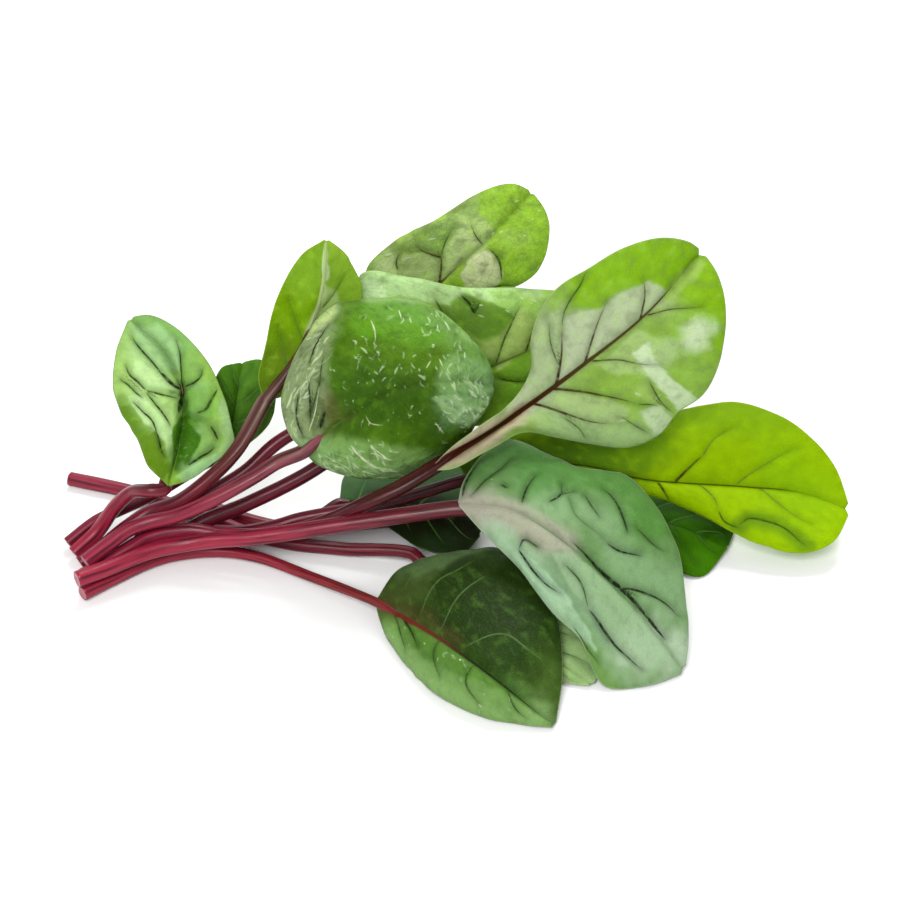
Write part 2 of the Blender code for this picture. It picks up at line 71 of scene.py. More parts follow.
# One entry for each leaf. petiole runs from the cut end to the blade, midrib from
# the base of the blade to its tip, and left and right are its margins, seen from
# above with the tip pointing away. radius is the stalk's at the cut and at the
# blade, bulge how far each half rises between midrib and margin at the base,
# middle and tip, and edge the waviness of each margin.
LEAVES = {
    "front": {
        "petiole": [(-89.5, -28.5, 1.9), (-83.5, -23.5, 1.6), (-74.5, -17, 1.55),
                    (-68, -14.3, 1.55), (-58, -13.3, 1.6), (-49, -15.5, 2), (-35.5, -22.5, 2)],
        "midrib": [(-19.5, -34.5, 5), (-6.5, -48, 8), (7.5, -62, 8), (22, -71.5, 1)],
        "left": [(-13.5, -25.5, 7), (-2, -22.5, 10), (10, -22.5, 11), (18, -31.5, 10),
                 (23, -43, 9), (24, -55.5, 5)],
        "right": [(-17.5, -40.5, 1.5), (-12, -51, 0.5), (-5, -60.5, 0.5), (5, -67.5, 0.5),
                  (14, -70, 0.5)],
        "radius": (1.7, 1.0), "bulge": ((0, 2, 0), (0, 3, 1)), "edge": (0.6, 0),
    },
    "front_right": {
        "petiole": [(-90.5, -28, 6), (-83.5, -23.9, 6), (-74, -18.5, 6.4), (-65, -16.4, 7),
                    (-57.5, -16.7, 8.5), (-50, -17.7, 10), (-41, -18.2, 12), (-30.5, -18.6, 14.5),
                    (-13.5, -18.7, 18)],
        "midrib": [(0, -19, 22), (12.5, -23.5, 24), (23.5, -32, 23), (37, -41, 15),
                   (47, -49.5, 7), (52.5, -54, 1)],
        "left": [(1.5, -11.5, 23), (6, -3.5, 24), (13, 1, 25), (21, -3.5, 25), (29, -10.5, 26),
                 (39, -11.5, 25), (46, -17.5, 22), (51.5, -27, 16), (53, -37, 11), (53.5, -47, 6)],
        "right": [(5.5, -25, 19), (14, -33.5, 15), (22.5, -44.5, 10), (28, -50, 8),
                  (33.5, -58.3, 1), (43, -58, 0.6)],
        "radius": (2.0, 1.9), "bulge": ((0, 2, 0), (0, 2, 0)), "edge": (0, 0),
    },
    "great": {
        "petiole": [(-90, -22.5, 2), (-84, -19.5, 4), (-79, -16.6, 5.6), (-74.5, -13.8, 6.6),
                    (-65, -11.8, 7.1), (-58, -12.6, 6.6), (-50.5, -13.6, 6.9), (-41, -14.4, 8.8),
                    (-30.5, -14.6, 13), (-22, -15, 18.6), (-14, -14, 22.6)],
        "midrib": [(-7, -11.5, 26), (4, -6, 30.5), (15, 1, 34), (30.5, 8, 43), (45, 15.5, 52),
                   (59, 29, 61)],
        "left": [(-1, -7.5, 30.5), (8, -4, 36), (13.5, 2.5, 36.5), (17.5, 8.5, 40.5), (17.5, 13, 46),
                 (19.5, 17.5, 51), (24, 21, 56), (31, 23, 60), (39.5, 26, 64), (48.5, 27.5, 66),
                 (55, 27.5, 65)],
        "right": [(-1, -12, 27), (7, -8.5, 29.5), (16, -4, 31.5), (24, -3.5, 29.5), (32.5, -3, 27),
                  (41, -3, 26), (48.5, -0.5, 28), (53, 3, 32), (59, 6, 35), (63, 10.5, 42),
                  (64.5, 18.5, 51), (62.5, 23.5, 58)],
        "radius": (1.9, 1.8), "bulge": ((0, 1, 0), (0, 4, 0)), "edge": (0, 0),
    },
    "bright": {
        "petiole": [(-79, -7.8, 2), (-72, -6.2, 2), (-66, -5.2, 2), (-60, -6.8, 2.4),
                    (-52, -9.4, 4.6), (-44, -10.6, 7.5), (-38, -10, 9.3), (-16.5, -8, 13),
                    (-6, -5.5, 14.8)],
        "midrib": [(2, -3, 16.2), (14, 0.5, 17.5), (30, 0.5, 17.5), (44.5, -3, 16), (69, -1, 12),
                   (84, -1, 10), (96, -5.5, 8)],
        "left": [(0, 4.5, 17), (4.5, 10, 18.3), (12, 13.5, 19.5), (20, 13.5, 20.5), (27, 12, 21),
                 (36, 11.5, 22), (46, 12.5, 23), (57, 14.5, 24), (68.5, 17, 24), (77.5, 15.5, 22),
                 (85.5, 11.5, 19), (92.5, 4.5, 14)],
        "right": [(10, -3.5, 16), (23, -2.5, 15.5), (33, -2.5, 14.5), (47, -3, 11), (56.5, -6.5, 9),
                  (65, -12, 8), (73, -15.5, 6), (82.5, -17.5, 5), (90.5, -15, 6)],
        "radius": (1.8, 1.4), "bulge": ((0, 2, 0), (0, 2, 0)), "edge": (0, 0),
    },
    "centre": {
        "petiole": [(-89, -22.5, 6.5), (-84, -18.4, 8.3), (-79, -15, 10.2), (-74.5, -13.4, 11.1),
                    (-68, -13, 12.8), (-59.5, -12.5, 17), (-49.5, -10, 22), (-43, -7.2, 25)],
        "midrib": [(-36.5, -8, 29), (-26.5, -9.5, 40), (-13.5, -9, 49), (-0.5, -6, 49),
                   (9, 0.5, 42)],
        "left": [(-40, -4.5, 31.5), (-42, -0.5, 37), (-40, 4, 44), (-36, 9, 50.5), (-30.5, 14.5, 55),
                 (-22.5, 16, 56), (-9, 15.5, 56), (1.5, 8, 53), (7.5, 2.5, 47)],
        "right": [(-33, -6.5, 23), (-26.5, -7, 20.5), (-18.5, -6.5, 19), (-9.5, -4.5, 19.5),
                  (1, 0, 25.5), (7, -2, 37.5)],
        "radius": (1.8, 1.7), "bulge": ((0, 3, 0), (0, 4.5, 0)), "edge": (0, 0),
    },
    "upright": {
        "petiole": [(-91, -18.2, 2), (-86.5, -15.3, 4), (-80, -11.2, 7.5), (-75, -8.8, 10),
                    (-67, -8.6, 13.8), (-59.5, -6, 19), (-53, -2.5, 25)],
        "midrib": [(-46.5, 6, 33), (-40, 10, 40), (-35, 14.5, 48), (-32, 17.5, 59),
                   (-31, 21.5, 70)],
        "left": [(-48, 9, 37.5), (-46.5, 13, 43), (-44, 17, 53), (-41, 19.5, 59.5), (-37, 22, 65)],
        "right": [(-37.5, 10, 33.5), (-30, 16, 39), (-25, 21.5, 45), (-23, 23.5, 53),
                  (-25, 24, 60), (-27, 23, 65)],
        "radius": (2.0, 1.6), "bulge": ((0, -1, 0), (0, -1, 0)), "edge": (0, 0),
    },
    "left": {
        "petiole": [(-93, -14.5, 2), (-87.5, -10.1, 5.3), (-83, -8, 11.4), (-78.5, -8.3, 16.4),
                    (-73.5, -11.5, 19.7)],
        "midrib": [(-69, -11.5, 21), (-67, 1, 25), (-66.5, 10, 32), (-71, 17.5, 39),
                   (-79.5, 21, 47)],
        "left": [(-73.5, -10, 26), (-77, -3.5, 30), (-81, 2.5, 33), (-83, 8, 36), (-82.5, 16, 41)],
        "right": [(-64.5, -8, 20), (-59, -4.5, 22), (-54, 0, 24), (-54.5, 3, 28), (-57, 9, 34),
                  (-61.5, 15, 40), (-68, 20.5, 44), (-74.5, 22, 47)],
        "radius": (1.9, 1.6), "bulge": ((0, 2, 0), (0, 2, 0)), "edge": (0, 0),
    },
    "small_dark": {
        "petiole": [(-95, -10.8, 2), (-88.5, -6, 4.8), (-82, -2.5, 6), (-75, -0.5, 8.5),
                    (-68, 1, 12.5), (-62, 2.5, 16)],
        "midrib": [(-57.5, 3.5, 18), (-55, 10, 24), (-52.5, 17.5, 36)],
        "left": [(-60, 7.5, 23), (-60, 12, 30), (-57.5, 16.5, 35)],
        "right": [(-51, 7, 19), (-45.5, 10, 24), (-44.5, 13.5, 31), (-47.5, 17, 37)],
        "radius": (1.6, 1.3), "bulge": ((0, 1, 0), (0, 1, 0)), "edge": (0, 0),
    },
    "middle": {
        "petiole": [(-78, -11.9, 2), (-71, -10.7, 2.6), (-61.5, -7.7, 6.6), (-50.5, -6, 11),
                    (-35.5, -2.5, 18), (-24, 2.5, 25)],
        "midrib": [(-15, 8, 32), (2, 12, 36), (20, 19, 40), (35, 30, 42)],
        "left": [(-21, 16, 39), (-23.5, 25, 45), (-23.5, 33.5, 51), (-11, 30.5, 52),
                 (1, 26.5, 52), (17, 31.5, 48), (29, 34, 44)],
        "right": [(-6, 3, 29), (10, 4, 28), (25, 13, 31), (35, 21, 37)],
        "radius": (1.9, 1.7), "bulge": ((0, 2, 0), (0, 2, 0)), "edge": (0, 0),
    },
    "top": {
        "petiole": [(-74, -9.2, 6.3), (-71.5, -8.3, 6.6), (-61.5, -3.5, 11), (-52, 0, 15.5),
                    (-44, 4.5, 21), (-34, 8.5, 25.5), (-22.5, 11.5, 32)],
        "midrib": [(-10.5, 27, 44), (-2, 33, 51), (8, 39, 58), (18.5, 50, 64)],
        "left": [(-18, 31, 45), (-22.5, 35.5, 50), (-16, 39.5, 56), (-4.5, 44.5, 60),
                 (6.5, 49, 65), (13.5, 50.5, 66)],
        "right": [(-2, 34, 41), (10.5, 35, 44), (19.5, 35.5, 50), (22.5, 40.5, 56),
                  (22, 46.5, 60)],
        "radius": (1.8, 1.5), "bulge": ((0, 1, 0), (0, 1, 0)), "edge": (0, 0),
    },
    "shaded": {
        "petiole": [(-97.5, 14, 1.55), (-80.5, 8.5, 1.55), (-63.5, 0, 1.6), (-44.5, -9.5, 1.7),
                    (-28.5, -12.5, 1.8)],
        "midrib": [(-11, -16, 4), (3, -29.5, 4), (18, -48, 4), (31, -58.5, 1.2)],
        "left": [(-2, -21, 3.5), (15, -30, 5), (29.5, -41, 3.5), (33.5, -51, 1.8)],
        "right": [(-6.5, -24.5, 2.5), (4, -40, 2.5), (15.5, -51.5, 1), (25, -57, 0.6)],
        "radius": (1.8, 1.5), "bulge": ((0, 1, 0), (0, 1, 0)), "edge": (0, 0),
    },
    "low_right": {
        "petiole": [(-62, 3.4, 1.9), (-55, -0.4, 1.9), (-46, -4, 1.9), (-38, -5.3, 1.9),
                    (-20, -3, 1.9), (0, 0, 1.9), (10.5, 3, 1.9)],
        "midrib": [(35.5, 2.5, 4.5), (45, -2.5, 4.5), (57, -8, 4), (66, -12, 2)],
        "left": [(45.5, 9, 2), (60, 8, 0.5), (68, -2, 1)],
        "right": [(41, -6, 2), (49, -16, 1), (58.5, -21, 0.5)],
        "radius": (1.6, 1.4), "bulge": ((0, 1, 0), (0, 1, 0)), "edge": (0, 0),
    },
    "low_centre": {
        "petiole": [(-47, -7, 4.3), (-43.5, -7.4, 4.3), (-38, -7.4, 5.2), (-33, -5.5, 7)],
        "midrib": [(-29, -2.5, 8.3), (-18.4, -2.4, 9), (-5.6, -6.9, 9.5), (5.9, -11.9, 6)],
        "left": [(-27, 14, 4), (-14, 22, 1), (2, 19, 3)],
        "right": [(-25, -5, 6), (-18.4, -6.5, 4.5), (-7.4, -17, 5.2), (1.3, -17.5, 5)],
        "radius": (1.5, 1.1), "bulge": ((0, 1, 0), (0, 1, 0)), "edge": (0, 0),
    },
}

# Lines on the blades: colour, how far the blade is sunk or raised along them, and
# whether they thin out at both ends or only at the far one. The near black of slit is
# painted shade in a deep sunken groove; fold is partly its own darker green and partly
# painted shade in the crease.
INKS = {
    "vein": ("#3C1A14", -0.18, False),
    "slit": ("#122208", -0.5, True),
    "fold": ("#2E5014", -0.28, True),
    "faint": ("#55803A", -0.10, False),
    "thread": ("#526E3A", 0.03, True),
    # The pale crease lines are painted highlights along raised crests.
    "crease_glint": ("#DCE8BE", 0.08, True),
}
# The colour of the painted highlights along the short strokes.
STROKE_HIGHLIGHT_COLOUR = "#D2E6B8"

# How each blade looks. mesh is its division in length and width, and tones are the
# colours of the left and right half. rib is the midrib's colour at the base and
# towards the tip, its half width at both, and the share of the length that it is
# drawn for; show is the share along which the stalk itself stands out of the blade.
# see is the share of light that passes through. quilt is how far the blade puckers
# between its veins, and blister the height of its bumps. flecks are fine streaks,
# darker and paler, the paler ones painted glints: strength and turn. patches are
# soft areas of another colour: colour, strength, reach and points; facets are areas
# with firm edges: colour, strength, softness and corners. Some patches and facets
# are painted highlights, sheen or shade, as marked at each leaf. lines are veins and
# folds: ink, width at both ends and points; veins is how many faint pairs are added
# to them. strokes are short ridges painted as highlights: how many, seed, range of
# t and of v, turn, length and half width. Points are (t, v): t from base 0 to tip 1,
# v from left margin -1 to right margin 1. PLAIN_LOOK holds what a leaf has where
# its own entry says nothing.
PLAIN_LOOK = {"show": 0.0, "flecks": None, "facets": [], "lines": [], "veins": 0, "strokes": []}
LOOKS = {
    "front": {
        "mesh": (170, 110), "tones": ("#223A08", "#5F8A34"), "rim": "#A9C38C",
        "rib": ("#6E2C1E", "#26301A", 0.95, 0.25, 0.8), "show": 0.06,
        "see": 0.15, "gloss": 0.25, "quilt": 0.3, "blister": 0.16, "mottle": 0.35, "net": 0.1,
        "flecks": (0.25, 60),
        "patches": [
            ("#4A5C28", 0.7, 6, [(0.08, -0.3), (0.25, -0.55)]),
            ("#6E8A58", 0.6, 5, [(0.2, -0.85), (0.4, -0.9)]),
            ("#223A08", 0.8, 9, [(0.45, -0.45), (0.65, -0.5)]),
            ("#4B3A1E", 0.55, 3, [(0.05, -0.08), (0.45, -0.06)]),
            ("#4E6A28", 0.6, 5, [(0.8, -0.7), (0.92, -0.5)]),
            ("#8DB46C", 0.8, 5, [(0.2, 0.85), (0.45, 0.9), (0.7, 0.9), (0.9, 0.7)]),
            ("#4A7428", 0.7, 4, [(0.3, 0.3), (0.55, 0.35), (0.8, 0.25)]),
        ],
        "facets": [
            ("#86AE64", 0.5, 0.9, [(0.11, 0.66), (0.32, 0.56), (0.52, 0.46), (0.66, 0.31),
                                   (0.8, 0.15), (0.97, 0.1), (0.9, 1), (0.2, 1)]),
            ("#1C3004", 0.8, 1.3, [(0.35, -0.1), (0.25, -0.51), (0.31, -0.88), (0.42, -1),
                                   (0.55, -1), (0.68, -0.91), (0.65, -0.54), (0.54, -0.12)]),
        ],
        "lines": [
            ("thread", 0.35, 0.5, [(0.26, -0.08), (0.28, -0.54), (0.33, -0.69), (0.36, -0.81)]),
            ("thread", 0.4, 0.5, [(0.51, -0.05), (0.61, -0.39), (0.70, -0.48), (0.77, -0.61)]),
            ("thread", 0.3, 0.5, [(0.38, -0.05), (0.38, -0.39), (0.42, -0.68)]),
            ("thread", 0.35, 0.5, [(0.16, -0.45), (0.18, -0.7), (0.24, -0.84)]),
            ("slit", 1.0, 0.3, [(0.44, 0.0), (0.6, 0.0), (0.8, 0.0), (0.97, 0.0)]),
            ("slit", 0.9, 0.2, [(0.16, 0.03), (0.28, 0.29), (0.35, 0.46)]),
            ("fold", 0.7, 0.2, [(0.10, 0.02), (0.22, 0.44), (0.3, 0.7)]),
            ("fold", 0.7, 0.2, [(0.39, 0.03), (0.44, 0.41), (0.51, 0.63)]),
            ("fold", 0.7, 0.2, [(0.59, 0.03), (0.62, 0.48), (0.70, 0.7)]),
            ("fold", 0.6, 0.2, [(0.76, 0.05), (0.82, 0.4), (0.88, 0.6)]),
        ],
        "strokes": [
            (26, 11, (0.15, 0.9), (0.25, 0.92), 50, 0.9, 0.15),
            (9, 12, (0.45, 0.6), (0.05, 0.25), 60, 1.3, 0.24),
        ],
    },
    "front_right": {
        "mesh": (180, 130), "tones": ("#648A50", "#6E9658"), "rim": "#B5C8A2",
        "rib": ("#A8A08E", "#6E8A62", 0.3, 0.2, 0.5), "show": -0.1,
        "see": 0.15, "gloss": 0.3, "quilt": 0.45, "blister": 0.16, "mottle": 0.35, "net": 0.1,
        "flecks": (0.1, 40),
        "patches": [
            ("#B3ACA0", 0.85, 5, [(0.02, 0.05), (0.12, 0.2), (0.25, 0.2), (0.4, 0.06)]),
            ("#4E8430", 0.8, 7, [(0.35, -0.9), (0.5, -0.85), (0.62, -0.8)]),
            ("#558A40", 0.75, 6, [(0.15, -0.9), (0.25, -0.8), (0.3, -0.5)]),
            ("#8CB07E", 0.6, 5, [(0.3, -0.15), (0.4, -0.35), (0.5, -0.4)]),
            # Painted sheen: the pale mint patches #A9CBA6 here and #BCD2B4 below.
            ("#A9CBA6", 0.85, 5, [(0.2, 0.85), (0.4, 0.8), (0.6, 0.75)]),
            ("#8CB080", 0.6, 6, [(0.62, -0.2), (0.75, -0.5), (0.8, -0.75)]),
            ("#6E9A45", 0.9, 3.5, [(0.5, 1.0), (0.62, 1.0), (0.74, 0.98)]),
            ("#BCD2B4", 0.8, 7, [(0.8, 0.4), (0.85, 0.3), (0.92, 0.0)]),
            ("#64875A", 0.6, 3.5, [(0.42, 0.35), (0.55, 0.62), (0.66, 0.56)]),
        ],
        "facets": [
            ("#A4A48E", 0.75, 1.2, [(0.02, -0.3), (0.18, -0.16), (0.35, -0.12), (0.46, -0.06),
                                    (0.43, 0.12), (0.3, 0.36), (0.16, 0.4)]),
            # Painted sheen: the pale mint facets #9CBA90 and #B0D4AC.
            ("#9CBA90", 0.7, 0.4, [(0.39, 0.31), (0.45, 0.06), (0.57, 0.06), (0.73, 0),
                                   (0.97, -0.11), (0.97, 0.3), (0.82, 0.62), (0.71, 0.6),
                                   (0.61, 0.61), (0.49, 0.54)]),
            ("#B0D4AC", 0.8, 0.4, [(0.28, 0.64), (0.35, 0.6), (0.47, 0.61), (0.56, 0.79),
                                   (0.66, 0.82), (0.57, 1), (0.31, 1)]),
        ],
        "lines": [
            ("slit", 0.9, 0.3, [(0.24, -0.14), (0.26, -0.33), (0.30, -0.62)]),
            ("slit", 0.9, 0.3, [(0.34, -0.32), (0.376, -0.5), (0.374, -0.66)]),
            ("fold", 0.5, 0.2, [(0.376, -0.5), (0.42, -0.64)]),
            ("slit", 0.8, 0.3, [(0.547, -0.26), (0.585, -0.29), (0.653, -0.45)]),
            ("slit", 0.9, 0.3, [(0.65, -0.03), (0.74, -0.27), (0.81, -0.5), (0.86, -0.68)]),
            ("slit", 0.4, 0.9, [(0.48, -0.75), (0.53, -0.64), (0.56, -0.56), (0.585, -0.49)]),
            ("slit", 0.7, 0.3, [(0.18, -0.39), (0.2, -0.32)]),
            ("fold", 0.7, 0.3, [(0.07, -0.41), (0.13, -0.54), (0.19, -0.61), (0.23, -0.73)]),
            ("slit", 0.8, 0.3, [(0.03, -0.7), (0.08, -0.9), (0.144, -0.95)]),
            ("slit", 0.7, 1.3, [(0.44, -0.06), (0.58, -0.02), (0.69, -0.05), (0.79, -0.06)]),
            ("slit", 1.2, 0.4, [(0.77, -0.06), (0.83, -0.08), (0.88, -0.1)]),
            ("fold", 0.6, 0.3, [(0.445, 0.3), (0.5, 0.33), (0.57, 0.59)]),
            ("slit", 1.1, 0.3, [(0.57, 0.59), (0.656, 0.56), (0.748, 0.54), (0.84, 0.68)]),
            ("slit", 1.2, 0.3, [(0.267, 0.68), (0.33, 0.76), (0.39, 0.76), (0.466, 0.68)]),
            ("slit", 0.6, 0.6, [(0.338, 0.38), (0.288, 0.41), (0.267, 0.68)]),
            ("fold", 0.6, 0.2, [(0.54, 0.94), (0.594, 0.97), (0.694, 0.86)]),
            ("faint", 0.6, 0.2, [(0.4, -0.52), (0.445, -0.32), (0.547, -0.26)]),
            ("fold", 0.6, 0.3, [(0.44, -0.62), (0.47, -0.5), (0.5, -0.42)]),
            ("fold", 0.6, 0.3, [(0.6, -0.6), (0.66, -0.66), (0.7, -0.76)]),
        ],
        "strokes": [(8, 21, (0.1, 0.45), (-0.9, -0.3), 30, 1.2, 0.15)],
    },
    "great": {
        "mesh": (180, 120), "tones": ("#A8BE7C", "#93BC4C"), "rim": "#B9D49A",
        "rib": ("#4E1C16", "#54421E", 1.3, 0.2, 0.86),
        "see": 0.3, "gloss": 0.25, "quilt": 0.5, "blister": 0.18, "mottle": 0.6, "net": 0.2,
        "flecks": (0.1, 20),
        "patches": [
            ("#BAC6A2", 0.9, 6, [(0.33, -0.12), (0.4, -0.4), (0.51, -0.23)]),
            ("#B9C69C", 0.9, 6, [(0.58, -0.25), (0.66, -0.26), (0.76, -0.2), (0.79, -0.1)]),
            ("#A5BC84", 0.8, 6, [(0.53, -0.64), (0.63, -0.61)]),
            ("#86B80C", 1.0, 8, [(0.65, -0.96), (0.72, -0.8), (0.82, -0.61), (0.9, -0.41)]),
            ("#8CBE10", 1.0, 7, [(0.9, -0.41), (0.95, 0.12), (0.9, 0.54), (0.8, 0.9)]),
            ("#82A83C", 0.8, 5, [(0.5, 0.16), (0.64, 0.2), (0.73, 0.17)]),
            ("#A9C68C", 0.9, 6, [(0.36, 0.6), (0.41, 0.8), (0.49, 0.87)]),
            # Painted highlights: this patch and the next.
            ("#C6DCB4", 0.8, 2.5, [(0.74, 0.57), (0.79, 0.62), (0.8, 0.76)]),
            ("#BCD49C", 0.7, 2.5, [(0.63, 0.42), (0.7, 0.4)]),
        ],
        "facets": [
            ("#B4C896", 0.8, 0.5, [(0.35, -0.92), (0.5, -0.93), (0.58, -0.77), (0.53, -0.5),
                                   (0.48, -0.27), (0.44, 0.0), (0.35, 0.0)]),
            ("#C2CEAC", 0.9, 0.35, [(0.57, -0.63), (0.66, -0.44), (0.69, -0.48), (0.8, -0.37),
                                    (0.84, -0.02), (0.66, 0.0), (0.44, 0.01), (0.48, -0.27),
                                    (0.53, -0.51)]),
            ("#86B808", 0.85, 0.6, [(0.66, -0.91), (0.74, -0.98), (0.88, -0.96), (0.95, -0.72),
                                    (0.96, -0.1), (0.85, -0.04), (0.8, -0.41), (0.69, -0.52),
                                    (0.65, -0.46), (0.59, -0.69)]),
            ("#AAC864", 0.75, 0.6, [(0.97, 0.0), (0.97, 0.6), (0.86, 0.16), (0.81, 0.12),
                                    (0.83, -0.01), (0.91, -0.15)]),
            # Painted highlights: this facet and the pale facets #D8EAC4 and #D0E4BC.
            ("#DCEAC6", 0.75, 1.5, [(0.76, 0.4), (0.8, 0.54), (0.79, 0.74), (0.76, 0.81),
                                    (0.73, 0.68), (0.74, 0.51)]),
            ("#BCD690", 0.6, 0.5, [(0.55, 0.08), (0.7, 0.06), (0.71, 0.3), (0.62, 0.42),
                                   (0.57, 0.3)]),
            ("#A9C86C", 0.7, 0.5, [(0.62, 0.5), (0.6, 0.72), (0.59, 1), (0.565, 1), (0.57, 0.7),
                                   (0.57, 0.5)]),
            ("#D8EAC4", 0.95, 0.3, [(0.64, 0.2), (0.69, 0.22), (0.66, 0.39), (0.65, 0.64),
                                    (0.65, 1), (0.6, 1), (0.61, 0.72), (0.62, 0.46)]),
            ("#D0E4BC", 0.85, 0.4, [(0.54, 0.68), (0.58, 0.78), (0.58, 1), (0.52, 1),
                                    (0.53, 0.88)]),
            ("#B4CA8C", 0.7, 0.5, [(0.43, 0.1), (0.51, 0.41), (0.53, 0.61), (0.49, 0.69),
                                   (0.43, 0.58), (0.34, 0.2)]),
            ("#C9B4A0", 0.9, 1.2, [(0, -1), (0.17, -1), (0.3, -0.45), (0.37, 0.0), (0.31, 0.15),
                                   (0.16, 1), (0, 1)]),
            ("#7A4434", 0.7, 1.0, [(0, -0.5), (0.12, -0.45), (0.3, -0.1), (0.3, 0.1), (0.12, 0.45),
                                   (0, 0.5)]),
        ],
        "lines": [
            ("vein", 0.9, 0.3, [(0.43, 0), (0.46, -0.16), (0.5, -0.35), (0.54, -0.58)]),
            ("fold", 0.4, 0.5, [(0.54, -0.58), (0.57, -0.7), (0.64, -0.85), (0.67, -0.97)]),
            ("fold", 0.5, 0.2, [(0.47, -0.21), (0.48, -0.43), (0.49, -0.57), (0.52, -0.78)]),
            ("vein", 0.7, 0.2, [(0.53, 0), (0.59, -0.2), (0.65, -0.4), (0.68, -0.49)]),
            ("vein", 0.6, 0.4, [(0.73, 0), (0.77, -0.2), (0.79, -0.41)]),
            ("vein", 0.8, 0.3, [(0.42, 0.02), (0.48, 0.24), (0.53, 0.48), (0.55, 0.62)]),
            ("fold", 0.4, 0.2, [(0.55, 0.62), (0.57, 0.72), (0.58, 0.8)]),
            ("vein", 0.8, 0.3, [(0.35, 0.04), (0.39, 0.36), (0.43, 0.55), (0.47, 0.65)]),
            ("vein", 0.5, 0.1, [(0.55, 0.02), (0.6, 0.17), (0.63, 0.34), (0.66, 0.46)]),
            ("vein", 0.4, 0.1, [(0.75, 0.02), (0.79, 0.16), (0.84, 0.6)]),
            ("fold", 0.4, 0.2, [(0.38, 0.43), (0.39, 0.66), (0.38, 0.88)]),
            ("fold", 0.5, 0.2, [(0.61, 0.53), (0.59, 0.78), (0.59, 0.97)]),
            ("fold", 0.4, 0.2, [(0.5, 0.62), (0.51, 0.78), (0.52, 0.92)]),
        ],
        "strokes": [
            (10, 31, (0.7, 0.83), (0.45, 0.85), 70, 2.2, 0.5),
            (12, 32, (0.46, 0.6), (0.5, 0.95), 50, 2.0, 0.3),
        ],
    },
    "bright": {
        "mesh": (170, 110), "tones": ("#A2C600", "#AED400"), "rim": "#B4D430",
        "rib": ("#2E1C10", "#4E5A0C", 0.45, 0.2, 0.86),
        "see": 0.45, "gloss": 0.15, "quilt": 0.25, "blister": 0.08, "mottle": 0.3, "net": 0.12,
        "patches": [
            # Painted shadow of the great leaf: the three dark patches at the base.
            ("#24400C", 0.95, 9, [(0.0, 0.0), (0.13, 0.0), (0.27, -0.25), (0.33, -0.8)]),
            ("#3A6010", 0.9, 7, [(0.28, 0.3), (0.36, -0.3), (0.38, -0.8)]),
            ("#5C8412", 0.8, 6, [(0.35, 0.17), (0.44, -0.21), (0.5, -0.9)]),
            ("#7EA81C", 0.6, 9, [(0.59, -0.9), (0.71, -0.95)]),
            ("#6E9A1C", 0.8, 2.5, [(0.67, 0.8), (0.72, 0.59), (0.77, 0.6), (0.83, 0.9)]),
            ("#9CC80C", 0.7, 8, [(0.79, -0.3), (0.87, 0.2)]),
        ],
        "lines": [
            ("vein", 0.8, 0.4, [(0.54, -0.02), (0.57, -0.19), (0.6, -0.34)]),
            ("faint", 0.4, 0.1, [(0.6, -0.34), (0.62, -0.52), (0.66, -0.66)]),
            ("vein", 0.7, 0.3, [(0.49, 0.1), (0.49, 0.38), (0.49, 0.86)]),
            ("faint", 0.4, 0.3, [(0.6, 0.04), (0.62, 0.4), (0.62, 0.68)]),
            ("fold", 0.6, 0.3, [(0.62, 0.68), (0.64, 0.88), (0.67, 0.87)]),
            ("fold", 0.6, 0.3, [(0.52, 0.95), (0.58, 0.98), (0.63, 0.96)]),
            ("fold", 0.6, 0.4, [(0.67, 0.8), (0.72, 0.59), (0.77, 0.6), (0.83, 0.9)]),
            ("faint", 0.3, 0.1, [(0.7, -0.03), (0.76, -0.34), (0.81, -0.69)]),
            ("faint", 0.3, 0.1, [(0.76, 0), (0.8, 0.3), (0.86, 0.6)]),
        ],
    },
    "centre": {
        "mesh": (215, 155), "tones": ("#4C720E", "#507812"), "rim": "#86A854",
        "rib": ("#6A4A36", "#47701E", 0.6, 0.2, 0.25), "show": 0.05,
        "see": 0.1, "gloss": 0.2, "quilt": 0.4, "blister": 0.34, "mottle": 0.8, "net": 0.15,
        "flecks": (0.6, 18),
        "patches": [
            ("#33560E", 0.85, 9, [(0.3, -0.1), (0.42, 0.05), (0.55, 0.2), (0.6, 0.45)]),
            ("#3C6214", 0.7, 6, [(0.35, -0.5), (0.45, -0.3)]),
            # Painted sheen on the silvery left lobe: this patch and the next.
            ("#8EA474", 0.9, 5, [(0.42, -0.98), (0.3, -0.88), (0.2, -0.85), (0.1, -0.7)]),
            ("#94A878", 0.85, 4, [(0.06, -0.5), (0.14, -0.55), (0.22, -0.6)]),
            ("#5B5230", 0.6, 3.5, [(0.13, -0.05), (0.2, -0.2), (0.25, -0.3)]),
            ("#7FAE74", 0.85, 5, [(0.1, 0.35), (0.25, 0.7), (0.4, 0.85), (0.55, 0.95)]),
            ("#78A070", 0.85, 6, [(0.75, 0.35), (0.86, 0.2), (0.93, 0.0)]),
            ("#6E9A4C", 0.7, 5, [(0.6, -0.85), (0.75, -0.7), (0.86, -0.5)]),
            ("#8DB468", 0.8, 2.2, [(0.55, -1.0), (0.7, -1.0), (0.85, -0.95)]),
        ],
        "facets": [
            # Painted sheen on the silvery left lobe.
            ("#86966A", 0.85, 1.8, [(0.46, -1), (0.43, -0.87), (0.39, -0.62), (0.35, -0.55),
                                    (0.29, -0.33), (0.18, -0.12), (0.1, -0.11), (0.06, -0.7),
                                    (0.09, -0.91), (0.14, -1)]),
            ("#C4DC8C", 0.8, 1.2, [(0.33, -1), (0.46, -1), (0.45, -0.88), (0.41, -0.86),
                                   (0.36, -0.92)]),
            ("#4E5A34", 0.7, 0.5, [(0.18, -0.47), (0.26, -0.44), (0.27, -0.34), (0.18, -0.14),
                                   (0.12, -0.19)]),
